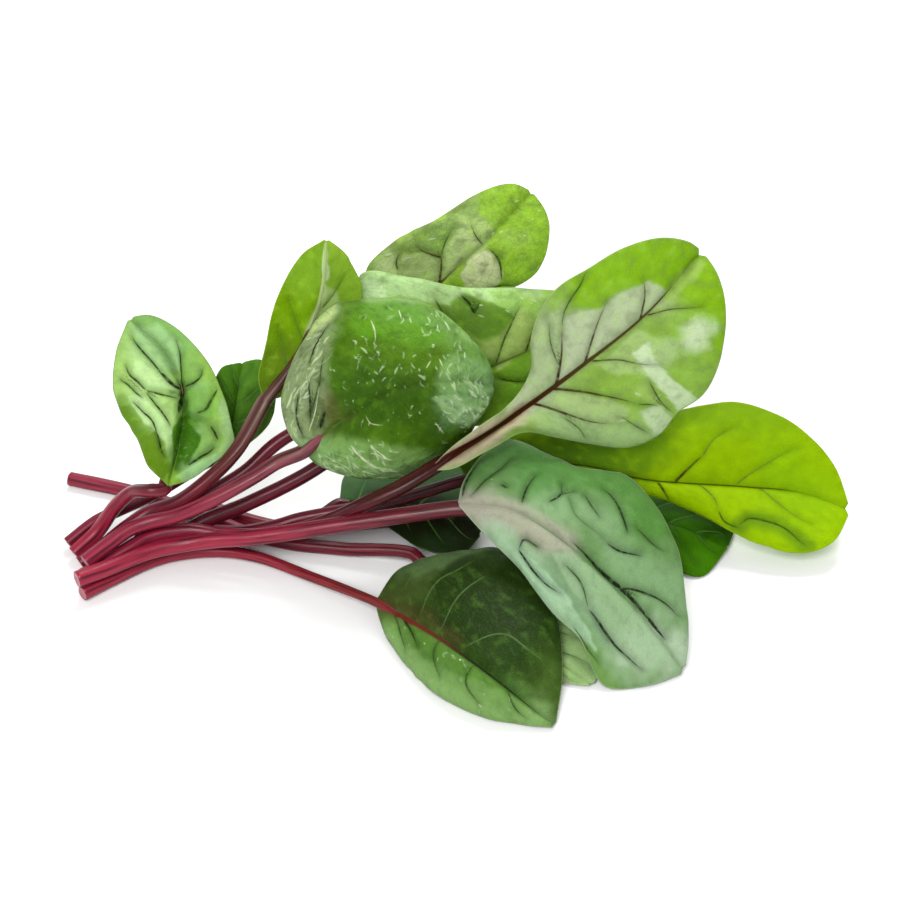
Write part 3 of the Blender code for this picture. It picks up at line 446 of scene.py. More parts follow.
            ("#5E5A30", 0.45, 1.2, [(0.3, -0.44), (0.31, -0.27), (0.32, -0.11), (0.31, 0.07),
                                    (0.21, 0.01), (0.22, -0.22)]),
            ("#86AE64", 0.7, 2.0, [(0.06, -0.02), (0.24, 0.2), (0.4, 0.4), (0.52, 0.6), (0.6, 0.83),
                                   (0.52, 1), (0.1, 1), (0.02, 0.9)]),
            ("#86AE6C", 0.6, 1.2, [(0.74, -0.35), (0.86, -0.47), (0.97, -0.6), (0.97, 0.6),
                                   (0.81, 0.68), (0.71, 0.47), (0.66, 0.28), (0.68, -0.03)]),
            ("#9CC088", 0.7, 0.7, [(0.64, 0.18), (0.72, 0.21), (0.83, 0.51), (0.84, 0.96),
                                   (0.8, 0.99), (0.69, 0.51)]),
            ("#33560C", 0.7, 1.5, [(0.33, -0.36), (0.46, -0.27), (0.57, -0.08), (0.6, 0.24),
                                   (0.56, 0.41), (0.39, 0.16), (0.26, -0.07)]),
            ("#5C961C", 0.6, 1.5, [(0.5, -0.89), (0.6, -0.94), (0.67, -0.8), (0.73, -0.55),
                                   (0.66, -0.36), (0.55, -0.48), (0.46, -0.61)]),
        ],
        "lines": [
            ("slit", 1.0, 0.4, [(0.168, -0.36), (0.22, -0.5), (0.274, -0.67)]),
            ("slit", 1.3, 0.8, [(0.15, -0.14), (0.19, -0.2), (0.235, -0.26)]),
            ("slit", 0.9, 0.4, [(0.08, -0.45), (0.14, -0.62), (0.22, -0.72)]),
            ("slit", 0.8, 0.3, [(0.3, -0.75), (0.36, -0.82), (0.42, -0.84)]),
            ("fold", 0.9, 0.4, [(0.2, -0.4), (0.28, -0.5), (0.36, -0.66)]),
            # The pale crease lines are painted highlights on raised crests.
            ("crease_glint", 0.3, 0.1, [(0.12, -0.28), (0.2, -0.34), (0.28, -0.48)]),
            ("crease_glint", 0.3, 0.1, [(0.53, -0.72), (0.53, -0.6), (0.52, -0.49)]),
            ("crease_glint", 0.3, 0.1, [(0.61, -0.8), (0.61, -0.68)]),
            ("crease_glint", 0.3, 0.2, [(0.67, -0.24), (0.65, -0.16)]),
            ("crease_glint", 0.2, 0.2, [(0.7, -0.27), (0.71, -0.18)]),
            ("crease_glint", 0.1, 0.1, [(0.37, 0.09), (0.39, 0.19), (0.44, 0.26)]),
            ("crease_glint", 0.2, 0.1, [(0.62, 0.42), (0.64, 0.6)]),
            ("crease_glint", 0.5, 0.3, [(0.28, 0.34), (0.34, 0.63), (0.4, 0.79)]),
            ("crease_glint", 0.3, 0.2, [(0.37, 0.41), (0.42, 0.63)]),
            ("crease_glint", 0.3, 0.2, [(0.14, 0.44), (0.25, 0.72)]),
        ],
        "strokes": [
            (80, 41, (0.45, 0.8), (-0.9, -0.1), -20, 2.0, 0.2),
            (50, 42, (0.3, 0.6), (-0.6, 0.4), -20, 1.3, 0.15),
            (110, 43, (0.1, 0.45), (0.4, 0.95), 30, 3.2, 0.25),
            (80, 44, (0.07, 0.4), (-0.95, -0.55), 80, 2.8, 0.24),
            (90, 45, (0.62, 0.92), (-0.1, 0.8), 10, 2.4, 0.24),
        ],
    },
    "upright": {
        "mesh": (140, 90), "tones": ("#80AA00", "#B4D84C"), "rim": "#A6C84A",
        "rib": ("#4A3A1A", "#C8DE96", 0.5, 0.4, 0.97), "show": 0.40,
        "see": 0.4, "gloss": 0.2, "quilt": 0.2, "blister": 0.08, "mottle": 0.45, "net": 0.12,
        "patches": [
            ("#56700E", 0.85, 6, [(0.05, -0.4), (0.3, -0.3)]),
            ("#8FB838", 0.7, 5, [(0.7, -0.6), (0.9, -0.5)]),
            ("#98C43C", 0.7, 5, [(0.55, 0.6), (0.75, 0.6)]),
        ],
        "facets": [
            # Painted highlights on the crest of the fold: these two pale facets.
            ("#E6F2CA", 0.9, 0.35, [(0.97, -0.1), (0.97, 0.05), (0.88, 0.12), (0.77, 0.16),
                                    (0.75, 0.03), (0.84, -0.14)]),
            ("#D6EAA6", 0.85, 0.5, [(0.74, 0.03), (0.68, 0.4), (0.59, 0.54), (0.56, 0.43),
                                    (0.53, 0.0), (0.42, -0.09), (0.53, -0.11)]),
            ("#6E8C10", 0.7, 1.0, [(0.2, -0.82), (0.38, -0.54), (0.38, -0.17), (0.22, -0.16),
                                   (0.12, -0.62)]),
        ],
        "lines": [
            # The pale crease lines are painted highlights on the crest of the fold.
            ("crease_glint", 0.9, 0.5, [(0.43, -0.02), (0.56, -0.03), (0.65, 0.02), (0.7, 0.12)]),
            ("crease_glint", 0.4, 0.6, [(0.97, -0.2), (0.86, -0.1), (0.77, 0.0), (0.7, 0.12)]),
            ("faint", 0.5, 0.1, [(0.2, 0.0), (0.3, -0.4), (0.42, -0.8)]),
            ("faint", 0.5, 0.1, [(0.38, 0.0), (0.48, -0.4), (0.6, -0.8)]),
            ("faint", 0.5, 0.1, [(0.6, 0.1), (0.72, 0.5), (0.78, 0.8)]),
        ],
    },
    "left": {
        "mesh": (150, 110), "tones": ("#A8D070", "#92BC52"), "rim": "#7A9E5A",
        "rib": ("#6E9A2A", "#5C8A34", 0.3, 0.2, 0.3), "show": -0.1,
        "see": 0.2, "gloss": 0.2, "quilt": 0.6, "blister": 0.2, "mottle": 0.5, "net": 0.1,
        "flecks": (0.1, 60),
        "patches": [
            ("#B9DE98", 0.85, 4, [(0.3, -0.45), (0.4, -0.5), (0.5, -0.7)]),
            ("#B4DA94", 0.8, 4, [(0.6, -0.4), (0.75, -0.45), (0.85, -0.3)]),
            ("#5A8408", 0.95, 4, [(0.05, -0.6), (0.2, -0.9), (0.35, -1.0), (0.48, -1.0)]),
            ("#8AB83A", 0.9, 3, [(0.0, 0.0), (0.06, 0.2), (0.12, 0.6)]),
            # Painted shade in the hollow pocket: this patch and the next two.
            ("#356608", 1.0, 3.2, [(0.5, 0.08), (0.4, 0.12), (0.28, 0.05), (0.15, 0.12)]),
            ("#3E700E", 0.95, 2.4, [(0.42, 0.5), (0.38, 0.25)]),
            ("#44780F", 0.9, 2.0, [(0.22, 0.35), (0.2, 0.5)]),
            ("#8CC078", 0.8, 3.5, [(0.5, 0.45), (0.45, 0.4)]),
            ("#86BC76", 0.9, 2.8, [(0.3, 0.4), (0.24, 0.45)]),
            ("#7DB266", 0.7, 6, [(0.75, 0.6), (0.9, 0.5)]),
            ("#A5CC8C", 0.8, 2.5, [(0.45, 0.97), (0.25, 0.95), (0.12, 0.85)]),
        ],
        "facets": [
            ("#AEDA98", 0.75, 0.8, [(0.96, -0.45), (0.88, 0.69), (0.74, 0.68), (0.63, 0.09),
                                    (0.66, -0.17), (0.8, -0.43)]),
            ("#C4E6A0", 0.8, 0.3, [(0.75, -0.61), (0.65, -0.29), (0.55, -0.04), (0.52, -0.06),
                                   (0.58, -0.46), (0.67, -0.65)]),
            ("#C8ECA4", 0.8, 0.3, [(0.55, -0.83), (0.53, -0.61), (0.37, -0.35), (0.3, -0.22),
                                   (0.28, -0.48), (0.39, -0.76)]),
            ("#B4DC84", 0.7, 0.3, [(0.56, -0.62), (0.52, -0.06), (0.44, -0.09), (0.37, -0.21),
                                   (0.45, -0.52)]),
            ("#5E8408", 0.85, 0.4, [(0.29, -1), (0.34, -0.58), (0.22, -0.39), (0.09, -0.22),
                                    (0.03, -1)]),
            # Painted shade in the hollow pocket.
            ("#356A06", 1.0, 0.4, [(0.4, -0.09), (0.42, 0.11), (0.35, 0.18), (0.31, 0.37),
                                   (0.21, 0.45), (0.14, 0.34), (0.21, -0.18), (0.3, -0.26)]),
            ("#82AC54", 0.8, 0.3, [(0.37, 0.31), (0.39, 0.74), (0.27, 0.83), (0.17, 0.79),
                                   (0.19, 0.43), (0.29, 0.39)]),
            ("#A0D090", 0.7, 0.4, [(0.07, 0.34), (0.18, 0.64), (0.25, 0.92), (0.29, 1), (0.06, 1)]),
            ("#8CBC60", 0.6, 0.4, [(0.7, 0.72), (0.61, 0.85), (0.54, 0.49), (0.54, 0.1),
                                   (0.62, 0.18)]),
            ("#84B84A", 0.6, 0.4, [(0.52, 0.16), (0.54, 0.82), (0.46, 0.89), (0.39, 0.6),
                                   (0.43, 0.11)]),
        ],
        "lines": [
            ("slit", 0.5, 0.9, [(0.88, -0.55), (0.82, -0.46), (0.72, -0.32), (0.64, -0.23)]),
            ("slit", 1.1, 1.2, [(0.66, -0.26), (0.58, -0.14), (0.54, -0.03)]),
            ("slit", 0.4, 0.9, [(0.78, 0.65), (0.71, 0.43), (0.64, 0.19), (0.585, 0.07)]),
            ("slit", 1.2, 1.8, [(0.6, 0.08), (0.525, -0.01), (0.476, -0.06), (0.42, -0.1)]),
            ("slit", 0.4, 0.9, [(0.61, 0.78), (0.585, 0.67), (0.56, 0.43), (0.549, 0.1)]),
            ("slit", 0.4, 0.8, [(0.73, -0.78), (0.67, -0.73), (0.615, -0.62), (0.56, -0.54)]),
            ("fold", 0.8, 0.4, [(0.56, -0.54), (0.523, -0.32), (0.495, -0.09)]),
            ("slit", 0.5, 0.5, [(0.656, -0.89), (0.615, -0.78), (0.56, -0.69), (0.52, -0.62)]),
            ("slit", 0.6, 0.7, [(0.55, -0.55), (0.495, -0.48), (0.438, -0.39), (0.35, -0.26)]),
            ("slit", 0.4, 0.8, [(0.52, -0.78), (0.45, -0.68), (0.39, -0.59), (0.317, -0.57)]),
            ("slit", 0.8, 0.4, [(0.33, -0.57), (0.232, -0.51), (0.177, -0.4)]),
            ("fold", 0.8, 0.9, [(0.52, 0.92), (0.48, 0.71), (0.435, 0.51), (0.416, 0.29)]),
            ("slit", 0.7, 0.6, [(0.364, 0.56), (0.341, 0.62), (0.307, 0.69)]),
            ("slit", 0.9, 0.6, [(0.15, 0.45), (0.2, 0.58), (0.25, 0.68), (0.279, 0.69)]),
        ],
        "strokes": [(9, 71, (0.15, 0.4), (-0.1, 0.3), 60, 0.7, 0.2)],
    },
    "small_dark": {
        "mesh": (90, 60), "tones": ("#467618", "#588A28"), "rim": "#5C8A3A",
        "rib": ("#2C4A14", "#2C4A14", 0.3, 0.15, 0.8),
        "see": 0.15, "gloss": 0.15, "quilt": 0.25, "blister": 0.12, "mottle": 0.5, "net": 0.15,
        "patches": [
            ("#6C9A3C", 0.95, 4, [(0.05, 0.7), (0.2, 0.95), (0.4, 1.0)]),
            ("#2A4A0E", 0.7, 3.0, [(0.2, 0.3), (0.6, 0.5)]),
        ],
        "veins": 4,
    },
    "middle": {
        "mesh": (150, 100), "tones": ("#92B850", "#7CA82A"), "rim": "#BBDC96",
        "rib": ("#33200F", "#5E7A2C", 0.65, 0.25, 0.62),
        "see": 0.25, "gloss": 0.2, "quilt": 0.5, "blister": 0.24, "mottle": 0.8, "net": 0.25,
        "flecks": (0.3, 30),
        "patches": [
            ("#BCE09C", 1.0, 4, [(0.2, -1.0), (0.35, -0.95), (0.5, -0.95)]),
            ("#B4D690", 0.9, 3, [(0.6, -1.0), (0.8, -0.95)]),
            ("#A6C878", 0.8, 4, [(0.55, -0.75), (0.7, -0.7)]),
            ("#547C1E", 0.9, 4, [(0.46, -0.5), (0.56, -0.45), (0.64, -0.5)]),
            ("#5A8018", 0.9, 5, [(0.35, 0.3), (0.5, 0.4), (0.6, 0.5)]),
            ("#94B860", 0.8, 3.5, [(0.66, -0.3), (0.76, -0.4)]),
        ],
        "facets": [
            ("#C0E49E", 0.8, 0.5, [(0.35, -1), (0.77, -1), (0.71, -0.76), (0.65, -0.71),
                                   (0.6, -0.89), (0.5, -0.66), (0.44, -0.68), (0.35, -0.72),
                                   (0.3, -0.94)]),
            ("#D2EEB6", 0.8, 0.3, [(0.34, -0.96), (0.37, -0.86), (0.34, -0.74), (0.3, -0.92)]),
            ("#5C8426", 0.85, 0.5, [(0.51, -0.67), (0.6, -0.89), (0.65, -0.71), (0.67, -0.5),
                                    (0.56, -0.28), (0.48, -0.24), (0.47, -0.42)]),
            ("#A0CC6C", 0.8, 0.4, [(0.67, -0.91), (0.77, -0.94), (0.72, -0.61), (0.67, -0.5),
                                   (0.65, -0.71)]),
            ("#A8BE6C", 0.8, 0.4, [(0.46, -0.19), (0.56, -0.26), (0.64, -0.4), (0.72, -0.61),
                                   (0.71, -0.32), (0.63, -0.06), (0.45, 0.14)]),
            ("#5E8C1C", 0.8, 0.5, [(0.44, 0.22), (0.62, 0.02), (0.53, 0.79), (0.39, 0.7)]),
        ],
        "lines": [
            ("vein", 0.6, 0.3, [(0.6, 0.0), (0.66, -0.14), (0.705, -0.29)]),
            ("fold", 0.7, 0.3, [(0.44, 0.02), (0.5, -0.07), (0.61, -0.31), (0.72, -0.63)]),
            ("slit", 0.5, 0.4, [(0.438, 0.25), (0.5, 0.42), (0.551, 0.53)]),
            ("slit", 1.1, 0.5, [(0.559, -0.57), (0.582, -0.76), (0.582, -0.85)]),
            ("fold", 1.0, 0.4, [(0.554, -0.55), (0.585, -0.65), (0.615, -0.75)]),
            ("fold", 0.8, 0.3, [(0.42, -0.45), (0.46, -0.6), (0.48, -0.75)]),
        ],
        "strokes": [(12, 91, (0.5, 0.85), (-0.95, -0.5), 40, 1.3, 0.22)],
    },
    "top": {
        "mesh": (150, 100), "tones": ("#90AA60", "#94BE38"), "rim": "#9CBC62",
        "rib": ("#4A2A1E", "#8FA45A", 0.45, 0.2, 0.6),
        "see": 0.25, "gloss": 0.25, "quilt": 0.5, "blister": 0.3, "mottle": 1.0, "net": 0.55,
        "flecks": (0.35, 30),
        "patches": [
            ("#D6DEAC", 0.95, 3.2, [(0.47, 0.28), (0.43, 0.5)]),
            ("#566E2C", 0.85, 4, [(0.5, -0.7), (0.42, -0.5), (0.35, -0.6)]),
            ("#A7B880", 0.8, 3.5, [(0.3, -0.8), (0.2, -0.6)]),
            ("#8CBC2C", 0.9, 7, [(0.85, 0.0), (0.75, 0.6), (0.6, 0.9)]),
            ("#B6CA90", 0.75, 3, [(0.62, -0.4), (0.56, -0.15)]),
            ("#C2D494", 0.8, 2.5, [(0.66, 0.25), (0.7, 0.5)]),
        ],
        "facets": [
            ("#D8DCB0", 0.95, 0.35, [(0.34, 0.15), (0.43, 0.05), (0.51, 0.06), (0.55, 0.19),
                                     (0.54, 0.39), (0.5, 0.66), (0.44, 0.82), (0.37, 0.68),
                                     (0.32, 0.48)]),
            ("#AEC084", 0.75, 0.5, [(0.27, 0.0), (0.48, -0.41), (0.58, -0.47), (0.58, -0.11),
                                    (0.55, 0.0), (0.42, 0.0)]),
            ("#7A9A58", 0.5, 0.8, [(0.44, -0.75), (0.6, -0.87), (0.64, -0.82), (0.58, -0.52),
                                   (0.44, -0.36), (0.4, -0.49)]),
            ("#B4C28C", 0.65, 0.5, [(0.28, -0.92), (0.36, -0.81), (0.27, -0.6), (0.22, -0.75)]),
            ("#A4B47C", 0.65, 0.4, [(0.37, -0.74), (0.4, -0.49), (0.39, -0.29), (0.24, -0.02),
                                    (0.26, -0.47), (0.29, -0.62)]),
            ("#B8D280", 0.7, 0.5, [(0.65, -0.83), (0.68, -0.42), (0.67, -0.09), (0.59, 0.04),
                                   (0.58, -0.11), (0.61, -0.39)]),
            ("#92BE34", 0.8, 0.6, [(0.79, -1), (0.97, -1), (0.97, 0.9), (0.79, 1), (0.55, 1),
                                   (0.5, 0.8), (0.54, 0.45), (0.57, 0.22), (0.68, 0.01),
                                   (0.71, -0.55)]),
        ],
        "lines": [
            ("vein", 0.8, 0.4, [(0.23, -0.02), (0.33, -0.16), (0.41, -0.31)]),
            ("fold", 0.6, 0.2, [(0.41, -0.31), (0.5, -0.47), (0.585, -0.61)]),
            ("vein", 0.6, 0.2, [(0.397, -0.29), (0.4, -0.44), (0.409, -0.6), (0.431, -0.74)]),
            ("vein", 0.5, 0.1, [(0.554, 0.02), (0.58, -0.16), (0.651, -0.53)]),
            ("fold", 0.7, 0.6, [(0.561, 0.14), (0.547, 0.38), (0.478, 0.74)]),
            ("fold", 0.8, 0.4, [(0.409, 0.81), (0.457, 0.85), (0.502, 0.96)]),
            ("fold", 0.7, 0.3, [(0.277, -0.61), (0.319, -0.71), (0.367, -0.78)]),
        ],
        "strokes": [
            (16, 101, (0.6, 0.92), (-0.2, 0.85), 60, 1.1, 0.2),
            (14, 102, (0.15, 0.5), (-0.9, -0.3), 40, 1.3, 0.2),
        ],
    },
    "shaded": {
        "mesh": (90, 60), "tones": ("#C4E09A", "#B2D084"), "rim": "#C4DCA8",
        "rib": ("#6A3A24", "#4A7028", 0.4, 0.15, 0.9),
        "see": 0.25, "gloss": 0.15, "quilt": 0.3, "blister": 0.12, "mottle": 0.4, "net": 0.15,
        "patches": [("#9CC47C", 0.8, 6, [(0.75, -0.5), (0.9, -0.3)])],
        "veins": 5,
    },
    "low_right": {
        "mesh": (90, 60), "tones": ("#3A7004", "#468204"), "rim": "#5C9014",
        "rib": ("#2C4412", "#2F5612", 0.35, 0.15, 0.8),
        "see": 0.2, "gloss": 0.12, "quilt": 0.25, "blister": 0.1, "mottle": 0.3, "net": 0.12,
        # Painted shade where the leaves above cover it.
        "patches": [("#1C3C02", 0.8, 7, [(0.4, -0.6), (0.8, -0.7)])],
        "veins": 4,
    },
    "low_centre": {
        # Painted deep shade: the dark right tone and the black-brown patch below.
        "mesh": (90, 60), "tones": ("#3A5E30", "#16280A"), "rim": "#5E7A44",
        "rib": ("#3A1A14", "#22380F", 0.4, 0.15, 0.9),
        "see": 0.1, "gloss": 0.15, "quilt": 0.3, "blister": 0.12, "mottle": 0.4, "net": 0.15,
        "patches": [
            ("#4E7444", 0.8, 6, [(0.2, -0.7), (0.5, -0.9)]),
            # Painted deep shade.
            ("#1C0E0A", 0.9, 6, [(0.3, 0.1), (0.6, 0.0), (0.9, -0.2)]),
        ],
        "veins": 4,
    },
}

# How each stalk looks: its colour at the cut end and at the blade, how much wider
# than high it is at the blade, and how deep the groove along its top is there.
STALKS = {
    "front": ("#981E38", "#7E2420", 0.0, 0.15),
    "front_right": ("#98203A", "#5C1E28", 0.08, 0.15),
    # Painted shade: this stalk and the next darken towards the blade, bright's darker all along.
    "great": ("#8A1A36", "#361008", 0.04, 0.4),
    "bright": ("#6E1028", "#300C08", 0.0, 0.1),
    "centre": ("#8C1C38", "#7A3A46", 0.14, 0.3),
    "upright": ("#701228", "#4A3020", 0.15, 0.3),
    "left": ("#921C36", "#6E1C2A", 0.0, 0.15),
    "small_dark": ("#74142C", "#4E1A20", 0.0, 0.1),
    "middle": ("#5E0C20", "#3A0C14", 0.0, 0.1),
    "top": ("#5E0C20", "#380C14", 0.0, 0.1),
    "shaded": ("#861A34", "#6A1220", 0.0, 0.1),
    "low_right": ("#741228", "#5A141C", 0.0, 0.1),
    "low_centre": ("#6E1028", "#4A1418", 0.0, 0.1),
}
FLANK_COLOUR = "#BFA594"
STREAK_COLOURS = ("#B83A58", "#33060F")
GROOVE_COLOUR = "#45161A"
CUT_COLOUR = "#D9A0A4"
BACKLIGHT_COLOUR = "#B4DC1E"

# Share of the light that a surface of a written colour throws back: less than all
# of it, as the studio lights are stronger than those that the colours belong to.
BOUNCE = 0.78

# How much of its length a blade takes up, the part of it that lines are drawn on,
# and how finely curves, blades and stalks are divided.
BLADE_REACH = (0.005, 0.984)
MARK_REACH = (0.005, 0.995)
CURVE_STEPS = 24
BLADE_POINTS = 481
STEM_POINTS = 900
STALK_SIDES = 24
STALK_STEPS = 120
RIB_STEPS = 60
FAR = 1e9

# The waves of a blade's margin, as in the part: how steep and how many half waves.
EDGE_POWER = 4
EDGE_HALF_WAVES = 5

# Half thickness of a blade in its middle and at its margin, and the width over
# which it thins, in millimetres.
BLADE_HALF = 0.17
MARGIN_HALF = 0.07
THINNING_WIDTH = 1.6

# Relief of a blade in millimetres: size and share of the three kinds of bumps,
# width of a pucker's groove, widths over which puckers and bumps fade at the
# margin, depth and half width of the midrib's groove, and the ruffle of the margin.
BUMP_SIZES = (9.0, 2.6, 1.1)
BUMP_SHARES = (0.5, 0.6, 0.35)
PUCKER_GROOVE = 1.3
PUCKER_FADE = 2.5
BUMP_FADE = 1.5
RIB_GROOVE_DEPTH = 0.28
RIB_GROOVE_WIDTH = 0.9
RUFFLE_HEIGHT = 0.25
RUFFLE_TURNS = 37
RUFFLE_DRIFT = 5
RUFFLE_POWER = 6

# Painted light and shade: how much lighter raised places are painted, and how much darker the
# painted shade in the grooves is.
RELIEF_SHADE = 0.16
RELIEF_FULL = 0.4
GROOVE_SHADE = 0.10
GROOVE_WIDTH = 0.6

# Fraying of the patches' and facets' edges by the bumps, and how the patches fade.
PATCH_FRAY = 0.45
PATCH_FINE_FRAY = 0.7
PATCH_POWER = 3
FACET_FRAY = 0.5
FACET_STEPS = 12

# Softness of a drawn line, how quickly lines and strokes thin out at their ends,
# and the ridge under a stroke, in millimetres.
LINE_BLUR = 0.3
BOTH_ENDS_POWER = 0.35
FAR_END_POWER = 4
STROKE_POWER = 0.5
STROKE_RISE = 0.10
STROKE_RIDGE = 0.45

# The rib under a blade: the shares of the blade that it runs along, its radius as a
# share of the stalk's, how it thins and its radius at the tip, the shares over
# which it sinks out of sight, how deep it lies where it shows, as a share of its
# radius, and how much deeper where it doesn't.
RIB_REACH = (0.004, 0.86)
RIB_START = 0.9
RIB_POWER = 1.1
RIB_TIP = 0.22
RIB_SINKS = (-0.04, 0.14)
SHOWN_SINK = 0.15
HIDDEN_DEPTH = 0.75

# A stalk in millimetres: its height over the floor, the length over which groove
# and flanks end under the blade, its unevenness, its lengthwise ridges, the width
# of the groove along its top in radians, and the rounded cut end as share of the
# radius and distance inwards.
FLOOR_CLEARANCE = 0.02
GROOVE_END = 8.0
SWELL_SHARE = 0.03
SWELL_SIZE = 6.0
RIDGES = 5
RIDGE_HEIGHT = 0.035
RIDGE_TURN = 0.6
GROOVE_ANGLE = 0.55
CUT_DEPTH = 0.1
CUT_RINGS = ((0.9, -0.1), (0.55, 0.1))
CUT_CENTRE = 0.16
TIP_LENGTH = 0.3

# The floor, the lamps (place, aim, size and power) and the camera, in metres.
FLOOR_HALF = 3.0
FLOOR_TONES = (0.79, 0.81)
WORLD_STRENGTH = 0.6
LAMPS = {
    "back": ((0.15, 0.75, 0.85), (0.0, 0.0, 0.03), 0.5, 13.0),
    "front": ((-0.25, -0.7, 0.85), (0.0, 0.0, 0.0), 0.5, 11.0),
}
CAMERA_LENS = 100.0
CAMERA_SENSOR = 36.0
CAMERA_TILT = math.radians(40.0)
CAMERA_DISTANCE = 0.64
CAMERA_TARGET = (-0.0006, 0.0376, 0.0)


def paint(text, share=BOUNCE):
    """A colour written as red, green and blue in hexadecimal, as linear values."""
    levels = [int(text[i:i + 2], 16) / 255 for i in (1, 3, 5)]
    linear = [c / 12.92 if c <= 0.04045 else ((c + 0.055) / 1.055) ** 2.4 for c in levels]
    return (*[c * share for c in linear], 1.0)


def tint(text, factor):
    """A written colour made lighter or darker."""
    red, green, blue, alpha = paint(text)
    return (red * factor, green * factor, blue * factor, alpha)


def unit(vectors):
    """The vectors at length one."""
    return vectors / np.linalg.norm(vectors, axis=-1, keepdims=True)


def smooth_line(points, count):
    """A smooth curve through the points, as count points evenly spaced along it."""
    p = np.asarray(points, float)
    p = np.vstack([2 * p[0] - p[1], p, 2 * p[-1] - p[-2]])
    chords = np.sqrt(np.linalg.norm(np.diff(p, axis=0), axis=1))
    knots = np.concatenate([[0.0], np.cumsum(chords)])
    fine = []
    for i in range(1, len(p) - 2):
        k0, k1, k2, k3 = knots[i - 1:i + 3]
        k = np.linspace(k1, k2, CURVE_STEPS, endpoint=False)[:, None]
        a = (k1 - k) / (k1 - k0) * p[i - 1] + (k - k0) / (k1 - k0) * p[i]
        b = (k2 - k) / (k2 - k1) * p[i] + (k - k1) / (k2 - k1) * p[i + 1]
        c = (k3 - k) / (k3 - k2) * p[i + 1] + (k - k2) / (k3 - k2) * p[i + 2]
        early = (k2 - k) / (k2 - k0) * a + (k - k0) / (k2 - k0) * b
        late = (k3 - k) / (k3 - k1) * b + (k - k1) / (k3 - k1) * c
        fine.append((k2 - k) / (k2 - k1) * early + (k - k1) / (k2 - k1) * late)
    fine = np.vstack(fine + [p[-2:-1]])
    return evenly(fine, count)


def evenly(line, count):
    """The same line as count points, evenly spaced along it."""
    steps = np.linalg.norm(np.diff(line, axis=0), axis=1)
    along = np.concatenate([[0.0], np.cumsum(steps)])
    return sample(line, along / along[-1], np.linspace(0.0, 1.0, count))


def sample(line, shares, t):
    """Points at t on a line whose points lie at the given shares."""
    return np.stack([np.interp(t, shares, line[:, k]) for k in range(3)], axis=1)


def through(values, t):
    """Smooth value at t through the values at the base, middle and tip."""
    base, middle, tip = values
    return base * (1 - t) * (1 - 2 * t) + middle * 4 * t * (1 - t) + tip * t * (2 * t - 1)


def between(low, high, x):
    """A smooth step of x from 0 at low to 1 at high."""
    s = np.clip((x - low) / (high - low), 0.0, 1.0)
    return s * s * (3 - 2 * s)


def bumps(points, size, shift):
    """Smooth noise from -1 to 1 at the points, with bumps of about the given size."""
    away = Vector((shift, 2 * shift, 3 * shift))
    return np.array([noise.noise(Vector(p) / size + away) for p in points])


class Blade:
    """The middle surface of a leaf's blade and its directions, in millimetres."""

    def __init__(self, leaf):
        base, tip = leaf["midrib"][0], leaf["midrib"][-1]
        self.leaf = leaf
        self.shares = np.linspace(0.0, 1.0, BLADE_POINTS)
        self.middle = smooth_line(leaf["midrib"], BLADE_POINTS)
        self.left = smooth_line([base] + leaf["left"] + [tip], BLADE_POINTS)
        self.right = smooth_line([base] + leaf["right"] + [tip], BLADE_POINTS)
        self.along = np.gradient(self.middle, axis=0)
        self.length = np.linalg.norm(np.diff(self.middle, axis=0), axis=1).sum()

    def at(self, t, v):
        """Points, up directions and half widths at t from base to tip, v from left to right."""
        rails = (self.middle, self.left, self.right, self.along)
        middle, left, right, along = [sample(line, self.shares, t) for line in rails]
        a = np.abs(v)
        on_left = v < 0
        margin = np.where(on_left[:, None], left, right)
        up_left = unit(np.cross(middle - left, along))
        up_right = unit(np.cross(right - middle, along))
        up_side = np.where(on_left[:, None], up_left, up_right)
        up = unit(up_side * a[:, None] + unit(up_left + up_right) * (1 - a[:, None]))
        ends = np.sqrt(np.sin(np.pi * t))
        bulge_left, bulge_right = self.leaf["bulge"]
        bulge = np.where(on_left, through(bulge_left, t), through(bulge_right, t))
        edge = np.where(on_left, *self.leaf["edge"])
        rise = bulge * 4 * a * (1 - a) * ends
        rise = rise + edge * a ** EDGE_POWER * ends * np.sin(EDGE_HALF_WAVES * np.pi * t)
        points = middle + (margin - middle) * a[:, None] + up * rise[:, None]
        return points, up, np.linalg.norm(margin - middle, axis=1)


def drawn(blade, marks, steps=8):
    """Points on the blade along a smooth line through the marks (t, v)."""
    flat = np.column_stack([np.array(marks, float), np.zeros(len(marks))])
    if len(marks) > 2:
        flat = smooth_line(flat, steps * (len(marks) - 1) + 1)
    elif len(marks) == 2:
        flat = evenly(flat, steps + 1)
    t = np.clip(flat[:, 0], *MARK_REACH)
    v = np.clip(flat[:, 1], -1.0, 1.0)
    return blade.at(t, v)[0]


def nearest(points, up, line):
    """Distance to a line, which side of it the points are on, and the share along it."""
    steps = np.linalg.norm(np.diff(line, axis=0), axis=1)
    start = np.concatenate([[0.0], np.cumsum(steps)])
    best = np.full(len(points), FAR)
    side = np.ones(len(points))
    share = np.zeros(len(points))
    for k, (p, q) in enumerate(zip(line[:-1], line[1:])):
        d = q - p
        s = np.clip((points - p) @ d / (d @ d), 0.0, 1.0)
        apart = points - p - s[:, None] * d
        distance = np.linalg.norm(apart, axis=1)
        closer = distance < best
        turn = np.sum(np.cross(d, apart) * up, axis=1)
        best = np.where(closer, distance, best)
        side = np.where(closer, np.where(turn < 0, -1.0, 1.0), side)
        share = np.where(closer, (start[k] + s * steps[k]) / start[-1], share)
    return best, side, share


def side_veins(count):
    """Faint side veins in both halves, as lines like those of the table."""
    veins = []
    for k in range(count):
        t = 0.12 + 0.62 * k / (count - 1)
        for v in (-1, 1):
            veins.append(("faint", 0.5, 0.1, [(t, 0.0), (t + 0.1, 0.4 * v), (t + 0.2, 0.8 * v)]))
    return veins


